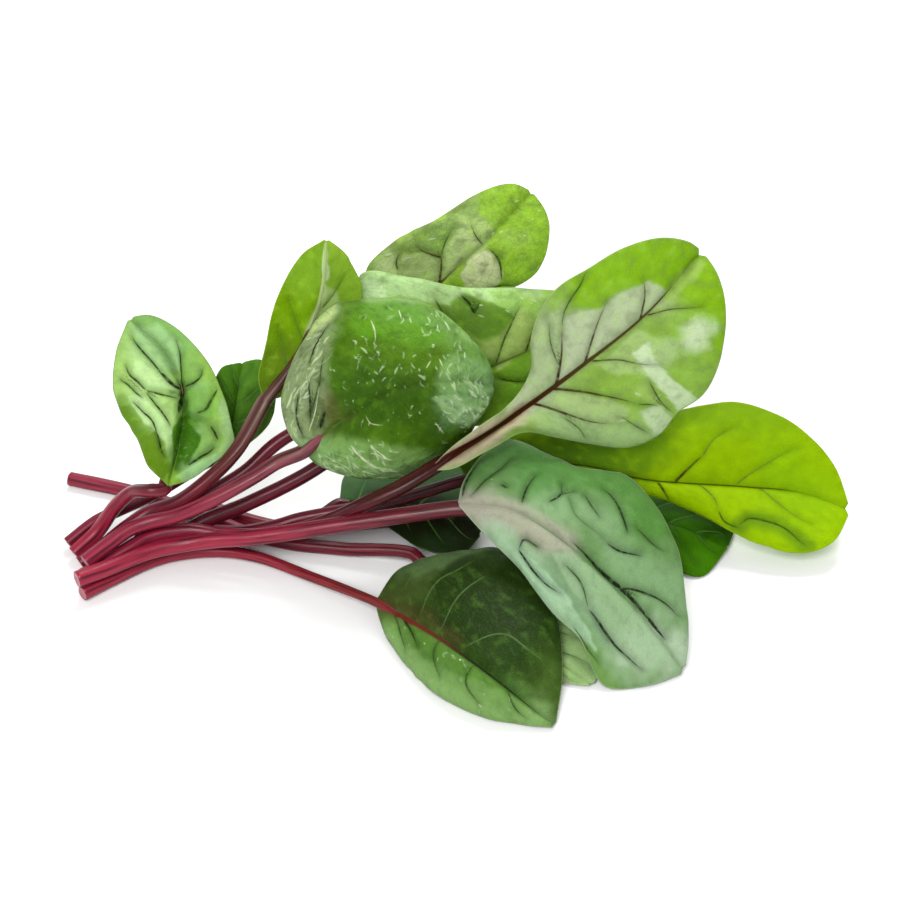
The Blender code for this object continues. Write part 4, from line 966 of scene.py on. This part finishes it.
def scatter(blade, groups):
    """Short strokes spread over the blade: the points, half width and strength of each."""
    strokes = []
    for count, seed, t_range, v_range, turn, length, width in groups:
        pick = random.Random(seed)
        for _ in range(count):
            t = pick.uniform(*t_range)
            v = pick.uniform(*v_range)
            angle = math.radians(turn + pick.uniform(-40.0, 40.0))
            size = length * pick.uniform(0.4, 1.3)
            half_width = blade.at(np.array([t]), np.array([v]))[2][0]
            dt = 0.5 * size * math.sin(angle) / blade.length
            dv = 0.5 * size * math.cos(angle) / half_width
            bend = pick.uniform(-0.35, 0.35)
            stretch = half_width / blade.length
            middle = (t + bend * dv * stretch, v - bend * dt / stretch)
            marks = [(t - dt, v - dv), middle, (t + dt, v + dv)]
            half = width * pick.uniform(0.6, 1.2)
            strokes.append((drawn(blade, marks, 2), half, pick.uniform(0.25, 0.95) ** 2))
    return strokes


def within(t, v, corners):
    """Which of the points (t, v) lie inside a many-sided figure."""
    inside = np.zeros(len(t), bool)
    for (t0, v0), (t1, v1) in zip(corners, corners[1:] + corners[:1]):
        if v0 != v1:
            crosses = (v0 > v) != (v1 > v)
            inside ^= crosses & (t < t0 + (v - v0) * (t1 - t0) / (v1 - v0))
    return inside


def lay_tone(blade, look, base, up, places, from_rib, coarse, fine):
    """The blade's colour at its points: both halves, the soft patches and the facets, some of them
    painted highlights, sheen and shade.
    """
    left, right = [np.array(paint(text)) for text in look["tones"]]
    tone = left + (right - left) * between(-1.0, 1.0, from_rib + coarse)[:, None]
    for colour, strength, reach, marks in look["patches"]:
        distance = nearest(base, up, drawn(blade, marks))[0]
        distance = np.maximum(distance + (coarse + PATCH_FINE_FRAY * fine) * PATCH_FRAY * reach, 0)
        share = strength * np.exp(-(distance / reach) ** PATCH_POWER)
        tone = tone + (np.array(paint(colour)) - tone) * share[:, None]
    for colour, strength, softness, corners in look["facets"]:
        outline = np.array([(*corner, 0.0) for corner in corners + corners[:1]])
        t, v, _ = evenly(outline, FACET_STEPS * len(corners)).T
        distance = nearest(base, up, blade.at(np.clip(t, *MARK_REACH), v)[0])[0]
        signed = np.where(within(*places, corners), distance, -distance) + FACET_FRAY * fine
        share = strength * between(-softness, softness, signed)
        tone = tone + (np.array(paint(colour)) - tone) * share[:, None]
    return tone


def lay_lines(blade, look, base, up):
    """Nearest vein or fold: signed distance, distance, width and colour, and the relief."""
    closest = np.full(len(base), FAR)
    signed = np.full(len(base), FAR)
    width = np.full(len(base), -LINE_BLUR)
    ink_tone = np.tile(paint("#000000"), (len(base), 1))
    hollow = np.zeros(len(base))
    groove = np.full(len(base), FAR)
    for ink, wide, narrow, marks in look["lines"] + side_veins(look["veins"]):
        colour, depth, both_ends = INKS[ink]
        distance, side, share = nearest(base, up, drawn(blade, marks))
        if both_ends:
            body = np.clip(np.sin(np.pi * share), 0, 1) ** BOTH_ENDS_POWER
        else:
            body = np.sqrt(1 - share ** FAR_END_POWER)
        line_width = (wide + (narrow - wide) * share + LINE_BLUR) * body - LINE_BLUR
        line_width = np.where(share <= 0, -LINE_BLUR, line_width)
        reach = LINE_BLUR + wide / 2
        hollow = hollow + depth * np.exp(-(distance / reach) ** 2) * body
        if depth < 0:
            groove = np.minimum(groove, distance)
        near = distance < closest
        closest = np.where(near, distance, closest)
        signed = np.where(near, side * distance, signed)
        width = np.where(near, line_width, width)
        ink_tone = np.where(near[:, None], np.array(paint(colour)), ink_tone)
    return np.stack([signed, closest, width], axis=1), ink_tone, hollow, groove


def lay_strokes(blade, look, base, up):
    """Nearest short stroke: distance, half width and strength, and the relief."""
    closest = np.full(len(base), FAR)
    width = np.zeros(len(base))
    strength = np.zeros(len(base))
    ridge = np.zeros(len(base))
    for line, half, force in scatter(blade, look["strokes"]):
        distance, _, share = nearest(base, up, line)
        body = np.clip(np.sin(np.pi * share), 0, 1) ** STROKE_POWER
        ridge = ridge + STROKE_RISE * np.exp(-(distance / STROKE_RIDGE) ** 2) * body
        near = distance - half * body < closest - width
        closest = np.where(near, distance, closest)
        width = np.where(near, half * body, width)
        strength = np.where(near, force, strength)
    return np.stack([closest, width, strength], axis=1), ridge


def make_mesh(name, points, faces, values):
    """A smooth mesh from points in design millimetres, with named values at its points."""
    mesh = bpy.data.meshes.new(name)
    places = (np.asarray(points) - (*ORIGIN, 0.0)) * MILLIMETRE
    mesh.from_pydata(places.tolist(), [], faces)
    for key, data in values.items():
        if data.shape[1] == 4:
            layer = mesh.attributes.new(key, "FLOAT_COLOR", "POINT")
            layer.data.foreach_set("color", data.astype(np.float32).ravel())
        else:
            layer = mesh.attributes.new(key, "FLOAT_VECTOR", "POINT")
            layer.data.foreach_set("vector", data.astype(np.float32).ravel())
    mesh.shade_smooth()
    mesh.validate()
    piece = bpy.data.objects.new(name, mesh)
    bpy.context.scene.collection.objects.link(piece)
    return piece


def dress(piece, node, material):
    """The piece takes the place of its CAD node."""
    piece.data.materials.append(material)
    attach(piece, "root")
    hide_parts(node)


def shell_faces(shape):
    """Faces of a closed thin shell: a grid of points above, the same below, and the rim."""
    count = shape[0] * shape[1]
    index = np.arange(count).reshape(shape)
    quads = np.stack([index[:-1, :-1], index[:-1, 1:], index[1:, 1:], index[1:, :-1]], axis=-1)
    quads = quads.reshape(-1, 4)
    ring = np.concatenate([index[0, :-1], index[:-1, -1], index[-1, :0:-1], index[:0:-1, 0]])
    following = np.roll(ring, -1)
    rim = np.stack([following, ring, ring + count, following + count], axis=1)
    return np.vstack([quads, quads[:, ::-1] + count, rim]).tolist()


def make_blade(name):
    """The detailed blade of one leaf."""
    look = PLAIN_LOOK | LOOKS[name]
    rows, columns = look["mesh"]
    shape = (rows + 1, columns + 1)
    blade = Blade(LEAVES[name])
    t_grid, v_grid = np.meshgrid(
        np.linspace(*BLADE_REACH, shape[0]), np.linspace(-1.0, 1.0, shape[1]), indexing="ij")
    t, v = t_grid.ravel(), v_grid.ravel()
    base, up, half_width = blade.at(t, v)
    a = np.abs(v)
    from_rib = v * half_width
    from_margin = (1 - a) * half_width
    ends = np.sqrt(np.sin(np.pi * t))
    shift = 3.0 + len(name)
    coarse, fine, small = [
        bumps(base, size, shift + away) for size, away in zip(BUMP_SIZES, (0, 5, 9))]

    tone = lay_tone(blade, look, base, up, (t, v), from_rib, coarse, fine)
    line, ink_tone, hollow, groove = lay_lines(blade, look, base, up)
    stroke, ridge = lay_strokes(blade, look, base, up)

    rib_colour, rib_end_colour, rib_wide, rib_narrow, rib_share = look["rib"]
    rib_half = rib_narrow + (rib_wide - rib_narrow) * (1 - t) ** 1.5
    rib_half = (rib_half + 0.2) * between(rib_share + 0.06, rib_share - 0.06, t) - 0.2
    rib_mix = between(0.3, 0.75, t / rib_share)[:, None]
    rib_start, rib_end = np.array(paint(rib_colour)), np.array(paint(rib_end_colour))
    rib_tone = rib_start * (1 - rib_mix) + rib_end * rib_mix

    groove = np.minimum(groove, np.abs(from_rib))
    body = np.clip(from_margin / PUCKER_FADE, 0, 1)
    swell = look["quilt"] * (0.5 - np.exp(-(groove / PUCKER_GROOVE) ** 2)) * body
    grain = look["blister"] * (np.stack([coarse, fine, small], axis=1) @ BUMP_SHARES)
    grain = grain * ends * np.clip(from_margin / BUMP_FADE, 0, 1)
    detail = swell + hollow * body + ridge + grain
    rise = detail - RIB_GROOVE_DEPTH * np.exp(-(from_rib / RIB_GROOVE_WIDTH) ** 2) * ends
    waves = np.sin(t * RUFFLE_TURNS + RUFFLE_DRIFT * coarse)
    rise = rise + RUFFLE_HEIGHT * waves * a ** RUFFLE_POWER * ends
    middle = base + up * rise[:, None]
    # Painted light and shade: raised places are made lighter and the grooves darker.
    shade = 1 + RELIEF_SHADE * np.clip(detail / RELIEF_FULL, -1, 1)
    shade = shade - GROOVE_SHADE * np.exp(-(groove / GROOVE_WIDTH) ** 2)
    tone[:, :3] = tone[:, :3] * shade[:, None]

    grid = middle.reshape(*shape, 3)
    normal = unit(np.cross(np.gradient(grid, axis=1), np.gradient(grid, axis=0))).reshape(-1, 3)
    half = MARGIN_HALF + (BLADE_HALF - MARGIN_HALF) * between(0.0, THINNING_WIDTH, from_margin)
    points = np.vstack([middle + normal * half[:, None], middle - normal * half[:, None]])

    under = np.repeat([0.0, 1.0], len(middle))
    along = np.tile(t, 2) * blade.length
    values = {
        "tone": np.tile(tone, (2, 1)),
        "ink": np.tile(ink_tone, (2, 1)),
        "rib_tone": np.tile(rib_tone, (2, 1)),
        "line": np.tile(line, (2, 1)),
        "stroke": np.tile(stroke, (2, 1)),
        "rib": np.tile(np.stack([from_rib, rib_half, from_margin], axis=1), (2, 1)),
        "flat": np.stack([np.tile(from_rib, 2), along, under], axis=1),
    }
    piece = make_mesh(f"{name}_leaf", points, shell_faces(shape), values)
    dress(piece, f"{name}_blade", leaf_material(f"{name}_leaf", look))


def stem_line(name):
    """Points and radii of a stalk and the rib that it runs on as, and where it meets the blade."""
    leaf = LEAVES[name]
    cut_radius, blade_radius = leaf["radius"]
    show = (PLAIN_LOOK | LOOKS[name])["show"]
    t = np.linspace(*RIB_REACH, RIB_STEPS)
    points, up, _ = Blade(leaf).at(t, np.zeros(RIB_STEPS))
    rib_radius = RIB_START * blade_radius * (1 - t) ** RIB_POWER + RIB_TIP
    hidden = between(show + RIB_SINKS[0], show + RIB_SINKS[1], t)
    drop = rib_radius * (SHOWN_SINK + (1 - SHOWN_SINK) * hidden) + HIDDEN_DEPTH * hidden
    rib = points - up * drop[:, None]
    whole = smooth_line(leaf["petiole"] + [tuple(rib[0]), tuple(rib[6])], STEM_POINTS)
    meets = np.argmin(np.linalg.norm(whole - rib[0], axis=1))
    petiole = evenly(whole[:meets + 1], STALK_STEPS)
    radius = np.linspace(cut_radius, rib_radius[0], STALK_STEPS)
    return np.vstack([petiole[:-1], rib]), np.concatenate([radius[:-1], rib_radius])


def make_stalk(name):
    """The detailed stalk of one leaf, which runs on as the rib under its blade."""
    cut_colour, blade_colour, wing, channel = STALKS[name]
    line, radius = stem_line(name)
    steps = np.linalg.norm(np.diff(line, axis=0), axis=1)
    along = np.concatenate([[0.0], np.cumsum(steps)])
    stem_length = along[STALK_STEPS - 1]
    share = np.clip(along / stem_length, 0.0, 1.0)
    onward = unit(np.gradient(line, axis=0))
    above = unit(np.array([0.0, 0.0, 1.0]) - onward * onward[:, 2:3])
    beside = np.cross(onward, above)
    after = np.clip((along - stem_length) / GROOVE_END, 0, 1)
    flank = wing * between(0.6, 1.0, share) * (1 - after)
    deep = channel * between(0.3, 0.95, share) * (1 - after)
    swell = 1 + SWELL_SHARE * bumps(line, SWELL_SIZE, 1.0 + len(name))

    angles = np.linspace(0, 2 * np.pi, STALK_SIDES, endpoint=False)
    height = np.sin(angles)
    ridges = RIDGE_HEIGHT * np.cos(RIDGES * angles + RIDGE_TURN)
    rings = []
    finishes = []
    for k, p in enumerate(line):
        dip = deep[k] * np.exp(-((angles - np.pi / 2) / GROOVE_ANGLE) ** 2)
        r = radius[k] * swell[k] * (1 + ridges * (1 - after[k]))
        x = r * (1 + flank[k]) * np.cos(angles)
        y = r * (height - dip)
        rings.append(p + np.outer(x, beside[k]) + np.outer(y, above[k]))
        finishes.append(np.stack([height, np.full(STALK_SIDES, flank[k]), dip], axis=1))
    centre = line[0] + onward[0] * CUT_DEPTH
    rings[0] = rings[0] + onward[0] * CUT_DEPTH
    inner = [centre + (rings[0] - centre) * s + onward[0] * d for s, d in CUT_RINGS]
    tip = line[-1] + onward[-1] * TIP_LENGTH
    points = np.vstack([centre + onward[0] * CUT_CENTRE] + inner[::-1] + rings + [tip])
    points[:, 2] = np.maximum(points[:, 2], FLOOR_CLEARANCE)

    layers = len(rings) + 2
    around = np.arange(STALK_SIDES)
    beyond = np.roll(around, -1)
    last = 1 + (layers - 1) * STALK_SIDES
    faces = [[0, 1 + j, 1 + i] for i, j in zip(around, beyond)]
    for a in range(1, last, STALK_SIDES):
        b = a + STALK_SIDES
        faces += np.stack([a + around, a + beyond, b + beyond, b + around], axis=1).tolist()
    faces += [[last + STALK_SIDES, last + i, last + j] for i, j in zip(around, beyond)]

    cut = np.zeros(len(points))
    cut[:1 + 2 * STALK_SIDES] = 1.0
    end = np.zeros((1, 3))
    finish = np.vstack([end, np.tile(finishes[0], (2, 1)), np.vstack(finishes), end])
    spun = np.concatenate([[0], np.tile(angles, layers), [0]])
    cut_length = np.zeros(1 + 2 * STALK_SIDES)
    reach = np.concatenate([cut_length, np.repeat(along, STALK_SIDES), along[-1:]])
    shares = np.concatenate([cut_length, np.repeat(share, STALK_SIDES), [1.0]])
    mix = between(0.35, 1.0, shares)[:, None]
    values = {
        "tone": np.array(paint(cut_colour)) * (1 - mix) + np.array(paint(blade_colour)) * mix,
        "finish": finish,
        "flat": np.stack([np.cos(spun), np.sin(spun), reach], axis=1),
        "cut": np.stack([cut, cut, cut], axis=1),
    }
    piece = make_mesh(f"{name}_stem", points, faces, values)
    dress(piece, f"{name}_stalk", stalk_material(f"{name}_stem"))


class Paints:
    """A few short ways to add nodes to a material."""

    def __init__(self, name):
        self.material = bpy.data.materials.new(name)
        self.material.use_nodes = True
        self.tree = self.material.node_tree
        self.shader = self.tree.nodes["Principled BSDF"]
        self.output = self.tree.nodes["Material Output"]

    def put(self, value, socket):
        """Link a socket, or set a plain value."""
        if isinstance(value, bpy.types.NodeSocket):
            self.tree.links.new(value, socket)
        else:
            socket.default_value = value

    def node(self, kind, **settings):
        """A new node with its settings."""
        made = self.tree.nodes.new(kind)
        for key, value in settings.items():
            setattr(made, key, value)
        return made

    def attribute(self, name):
        """The values that the mesh keeps under a name."""
        return self.node("ShaderNodeAttribute", attribute_name=name)

    def parts(self, vector):
        """The three parts of a vector."""
        split = self.node("ShaderNodeSeparateXYZ")
        self.put(vector, split.inputs[0])
        return split.outputs

    def maths(self, operation, first, second=0.0):
        """One sum."""
        made = self.node("ShaderNodeMath", operation=operation)
        self.put(first, made.inputs[0])
        self.put(second, made.inputs[1])
        return made.outputs[0]

    def step(self, value, low, high, first=0.0, last=1.0):
        """A smooth step of the value from first at low to last at high."""
        made = self.node("ShaderNodeMapRange", interpolation_type="SMOOTHSTEP")
        for place, number in enumerate((value, low, high, first, last)):
            self.put(number, made.inputs[place])
        return made.outputs[0]

    def blend(self, share, first, second):
        """The second colour laid over the first by a share."""
        made = self.node("ShaderNodeMix", data_type="RGBA")
        self.put(share, made.inputs[0])
        self.put(first, made.inputs[6])
        self.put(second, made.inputs[7])
        return made.outputs[2]

    def scaled(self, vector, scale, turn=0.0):
        """The vector turned about its third axis and then scaled."""
        turned = self.node("ShaderNodeMapping")
        self.put(vector, turned.inputs[0])
        turned.inputs[2].default_value = (0.0, 0.0, turn)
        made = self.node("ShaderNodeMapping")
        self.put(turned.outputs[0], made.inputs[0])
        made.inputs[3].default_value = scale
        return made.outputs[0]

    def clouds(self, vector, scale, detail=3.0):
        """Soft noise."""
        made = self.node("ShaderNodeTexNoise")
        self.put(vector, made.inputs["Vector"])
        made.inputs["Scale"].default_value = scale
        made.inputs["Detail"].default_value = detail
        return made.outputs[0]

    def cells(self, vector, scale):
        """Distance to the walls of a net of cells."""
        made = self.node("ShaderNodeTexVoronoi", feature="DISTANCE_TO_EDGE")
        self.put(vector, made.inputs["Vector"])
        made.inputs["Scale"].default_value = scale
        return made.outputs["Distance"]

    def bump(self, height, distance, strength):
        """Fine relief."""
        made = self.node("ShaderNodeBump")
        made.inputs["Distance"].default_value = distance
        made.inputs["Strength"].default_value = strength
        self.put(height, made.inputs["Height"])
        self.put(made.outputs[0], self.shader.inputs["Normal"])


def leaf_material(name, look):
    """Green blade: mottled tone with painted light and shade of its relief, fine net, streaks
    with painted glints, strokes of painted highlight, veins and folds, midrib, rim and
    paler underside.
    """
    p = Paints(name)
    flat = p.attribute("flat").outputs["Vector"]
    under = p.parts(flat)[2]
    across, rib_half, margin = p.parts(p.attribute("rib").outputs["Vector"])[:3]
    colour = p.attribute("tone").outputs["Color"]
    dark_tone, light_tone = look["tones"]

    mottle = p.clouds(flat, 0.32, 4.0)
    dark = p.step(mottle, 0.52, 0.3, 0.0, 0.55 * look["mottle"])
    light = p.step(mottle, 0.5, 0.72, 0.0, 0.4 * look["mottle"])
    colour = p.blend(dark, colour, tint(dark_tone, 0.4))
    colour = p.blend(light, colour, tint(light_tone, 1.7))

    net = p.step(p.cells(flat, 0.55), 0.0, 0.07, 0.6 * look["net"], 0.0)
    colour = p.blend(net, colour, tint(dark_tone, 0.4))
    web = p.cells(flat, 1.7)
    fine_net = p.step(web, 0.0, 0.1, 0.5 * look["net"], 0.0)
    colour = p.blend(fine_net, colour, tint(light_tone, 1.4))

    # Fine streaks, darker and paler; the paler ones are painted glints.
    if look["flecks"]:
        strength, turn = look["flecks"]
        streaks = p.clouds(p.scaled(flat, (0.3, 1.5, 1.0), -math.radians(turn)), 1.0, 2.0)
        dark = p.step(streaks, 0.45, 0.25, 0.0, 0.5 * strength)
        light = p.step(streaks, 0.58, 0.75, 0.0, 0.35 * strength)
        colour = p.blend(dark, colour, tint(dark_tone, 0.5))
        colour = p.blend(light, colour, tint(light_tone, 1.8))

    # Painted highlights along the short strokes.
    away, half, strength = p.parts(p.attribute("stroke").outputs["Vector"])[:3]
    mask = p.step(p.maths("SUBTRACT", away, half), -0.14, 0.12, 0.85, 0.0)
    colour = p.blend(p.maths("MULTIPLY", mask, strength), colour, paint(STROKE_HIGHLIGHT_COLOUR))

    patchy = p.step(p.clouds(flat, 0.7), 0.3, 0.6, 0.55, 1.0)
    side, near, width = p.parts(p.attribute("line").outputs["Vector"])[:3]
    over = p.maths("SUBTRACT", p.maths("ABSOLUTE", side), p.maths("MULTIPLY", width, 0.5))
    mask = p.step(over, -0.16, 0.18, 1.0, 0.0)
    mask = p.maths("MULTIPLY", mask, p.step(near, 0.9, 1.5, 1.0, 0.0))
    ink = p.attribute("ink").outputs["Color"]
    colour = p.blend(p.maths("MULTIPLY", mask, patchy), colour, ink)

    over = p.maths("SUBTRACT", p.maths("ABSOLUTE", across), rib_half)
    rib_tone = p.attribute("rib_tone").outputs["Color"]
    colour = p.blend(p.step(over, -0.16, 0.16, 1.0, 0.0), colour, rib_tone)

    colour = p.blend(p.step(margin, 0.05, 0.4, 0.55, 0.0), colour, paint(look["rim"]))
    colour = p.blend(p.maths("MULTIPLY", under, 0.35), colour, tint(light_tone, 1.1))

    grain = p.clouds(flat, 3.5, 2.0)
    p.put(colour, p.shader.inputs["Base Color"])
    p.put(p.step(grain, 0.2, 0.8, 0.36, 0.5), p.shader.inputs["Roughness"])
    p.shader.inputs["Specular IOR Level"].default_value = 0.25 * look["gloss"]
    p.bump(p.maths("ADD", grain, p.step(web, 0.0, 0.25)), 0.00012, 0.5)

    through_light = p.node("ShaderNodeBsdfTranslucent")
    p.put(p.blend(0.5, colour, paint(BACKLIGHT_COLOUR, share=1.0)), through_light.inputs["Color"])
    mix = p.node("ShaderNodeMixShader")
    mix.inputs[0].default_value = look["see"]
    p.put(p.shader.outputs[0], mix.inputs[1])
    p.put(through_light.outputs[0], mix.inputs[2])
    p.put(mix.outputs[0], p.output.inputs["Surface"])
    return p.material


def stalk_material(name):
    """Red stalk: lengthwise streaks, darker groove, pale flanks and a pale cut end."""
    p = Paints(name)
    flat = p.attribute("flat").outputs["Vector"]
    height, flank, dip = p.parts(p.attribute("finish").outputs["Vector"])[:3]
    cut = p.parts(p.attribute("cut").outputs["Vector"])[0]
    colour = p.attribute("tone").outputs["Color"]
    streaks = p.clouds(p.scaled(flat, (2.2, 2.2, 0.06)), 1.6, 3.0)
    light_streak, dark_streak = STREAK_COLOURS
    colour = p.blend(p.step(streaks, 0.55, 0.75, 0.0, 0.4), colour, paint(light_streak))
    colour = p.blend(p.step(streaks, 0.55, 0.3, 0.0, 0.85), colour, paint(dark_streak))
    pale = p.maths("MULTIPLY", p.step(flank, 0.03, 0.35, 0.0, 0.8), p.step(height, 0.2, 0.7))
    colour = p.blend(pale, colour, paint(FLANK_COLOUR))
    colour = p.blend(p.step(dip, 0.06, 0.3, 0.0, 0.9), colour, paint(GROOVE_COLOUR))
    colour = p.blend(p.maths("MULTIPLY", cut, 0.35), colour, paint(CUT_COLOUR))
    grain = p.clouds(p.scaled(flat, (3.0, 3.0, 0.3)), 2.0, 2.0)
    p.put(colour, p.shader.inputs["Base Color"])
    p.put(p.step(grain, 0.2, 0.8, 0.28, 0.42), p.shader.inputs["Roughness"])
    p.shader.inputs["Specular IOR Level"].default_value = 0.3
    p.bump(grain, 0.0001, 0.4)
    return p.material


def make_floor():
    """A large plain pale floor."""
    corners = [(x * FLOOR_HALF, y * FLOOR_HALF, 0.0)
               for x, y in ((-1, -1), (1, -1), (1, 1), (-1, 1))]
    mesh = bpy.data.meshes.new("floor")
    mesh.from_pydata(corners, [], [(0, 1, 2, 3)])
    floor = bpy.data.objects.new("floor", mesh)
    bpy.context.scene.collection.objects.link(floor)
    p = Paints("floor")
    grain = p.clouds(p.node("ShaderNodeTexCoord").outputs["Object"], 30.0)
    dark, light = [(tone, tone, tone, 1.0) for tone in FLOOR_TONES]
    p.put(p.blend(grain, dark, light), p.shader.inputs["Base Color"])
    p.shader.inputs["Roughness"].default_value = 0.9
    p.shader.inputs["Specular IOR Level"].default_value = 0.1
    mesh.materials.append(p.material)


def make_lamp(name, place, aim, size, power):
    """A square soft lamp that looks at a point."""
    data = bpy.data.lights.new(name, "AREA")
    data.shape = "SQUARE"
    data.size = size
    data.energy = power
    lamp = bpy.data.objects.new(name, data)
    lamp.location = place
    lamp.rotation_euler = (Vector(aim) - Vector(place)).to_track_quat("-Z", "Y").to_euler()
    bpy.context.scene.collection.objects.link(lamp)


def make_light():
    """White surroundings, a soft lamp behind the bunch and a weak one in front."""
    world = bpy.data.worlds.new("studio")
    world.use_nodes = True
    shade = world.node_tree.nodes["Background"]
    shade.inputs["Color"].default_value = (1.0, 1.0, 1.0, 1.0)
    shade.inputs["Strength"].default_value = WORLD_STRENGTH
    bpy.context.scene.world = world
    for name, lamp in LAMPS.items():
        make_lamp(name, *lamp)
    bpy.context.scene.view_settings.view_transform = "Standard"


def make_camera():
    """The photograph's view: from the front, looking down at forty degrees."""
    data = bpy.data.cameras.new("camera")
    data.lens = CAMERA_LENS
    data.sensor_width = CAMERA_SENSOR
    camera = bpy.data.objects.new("camera", data)
    away = Vector((0.0, -math.cos(CAMERA_TILT), math.sin(CAMERA_TILT)))
    camera.location = Vector(CAMERA_TARGET) + away * CAMERA_DISTANCE
    camera.rotation_euler = (math.pi / 2 - CAMERA_TILT, 0.0, 0.0)
    bpy.context.scene.collection.objects.link(camera)
    bpy.context.scene.camera = camera


def main():
    """Load the frame, dress every leaf and set the stage."""
    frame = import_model()
    make_camera()
    make_light()
    make_floor()
    for name in LEAVES:
        make_stalk(name)
        make_blade(name)
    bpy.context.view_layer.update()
    return frame


main()
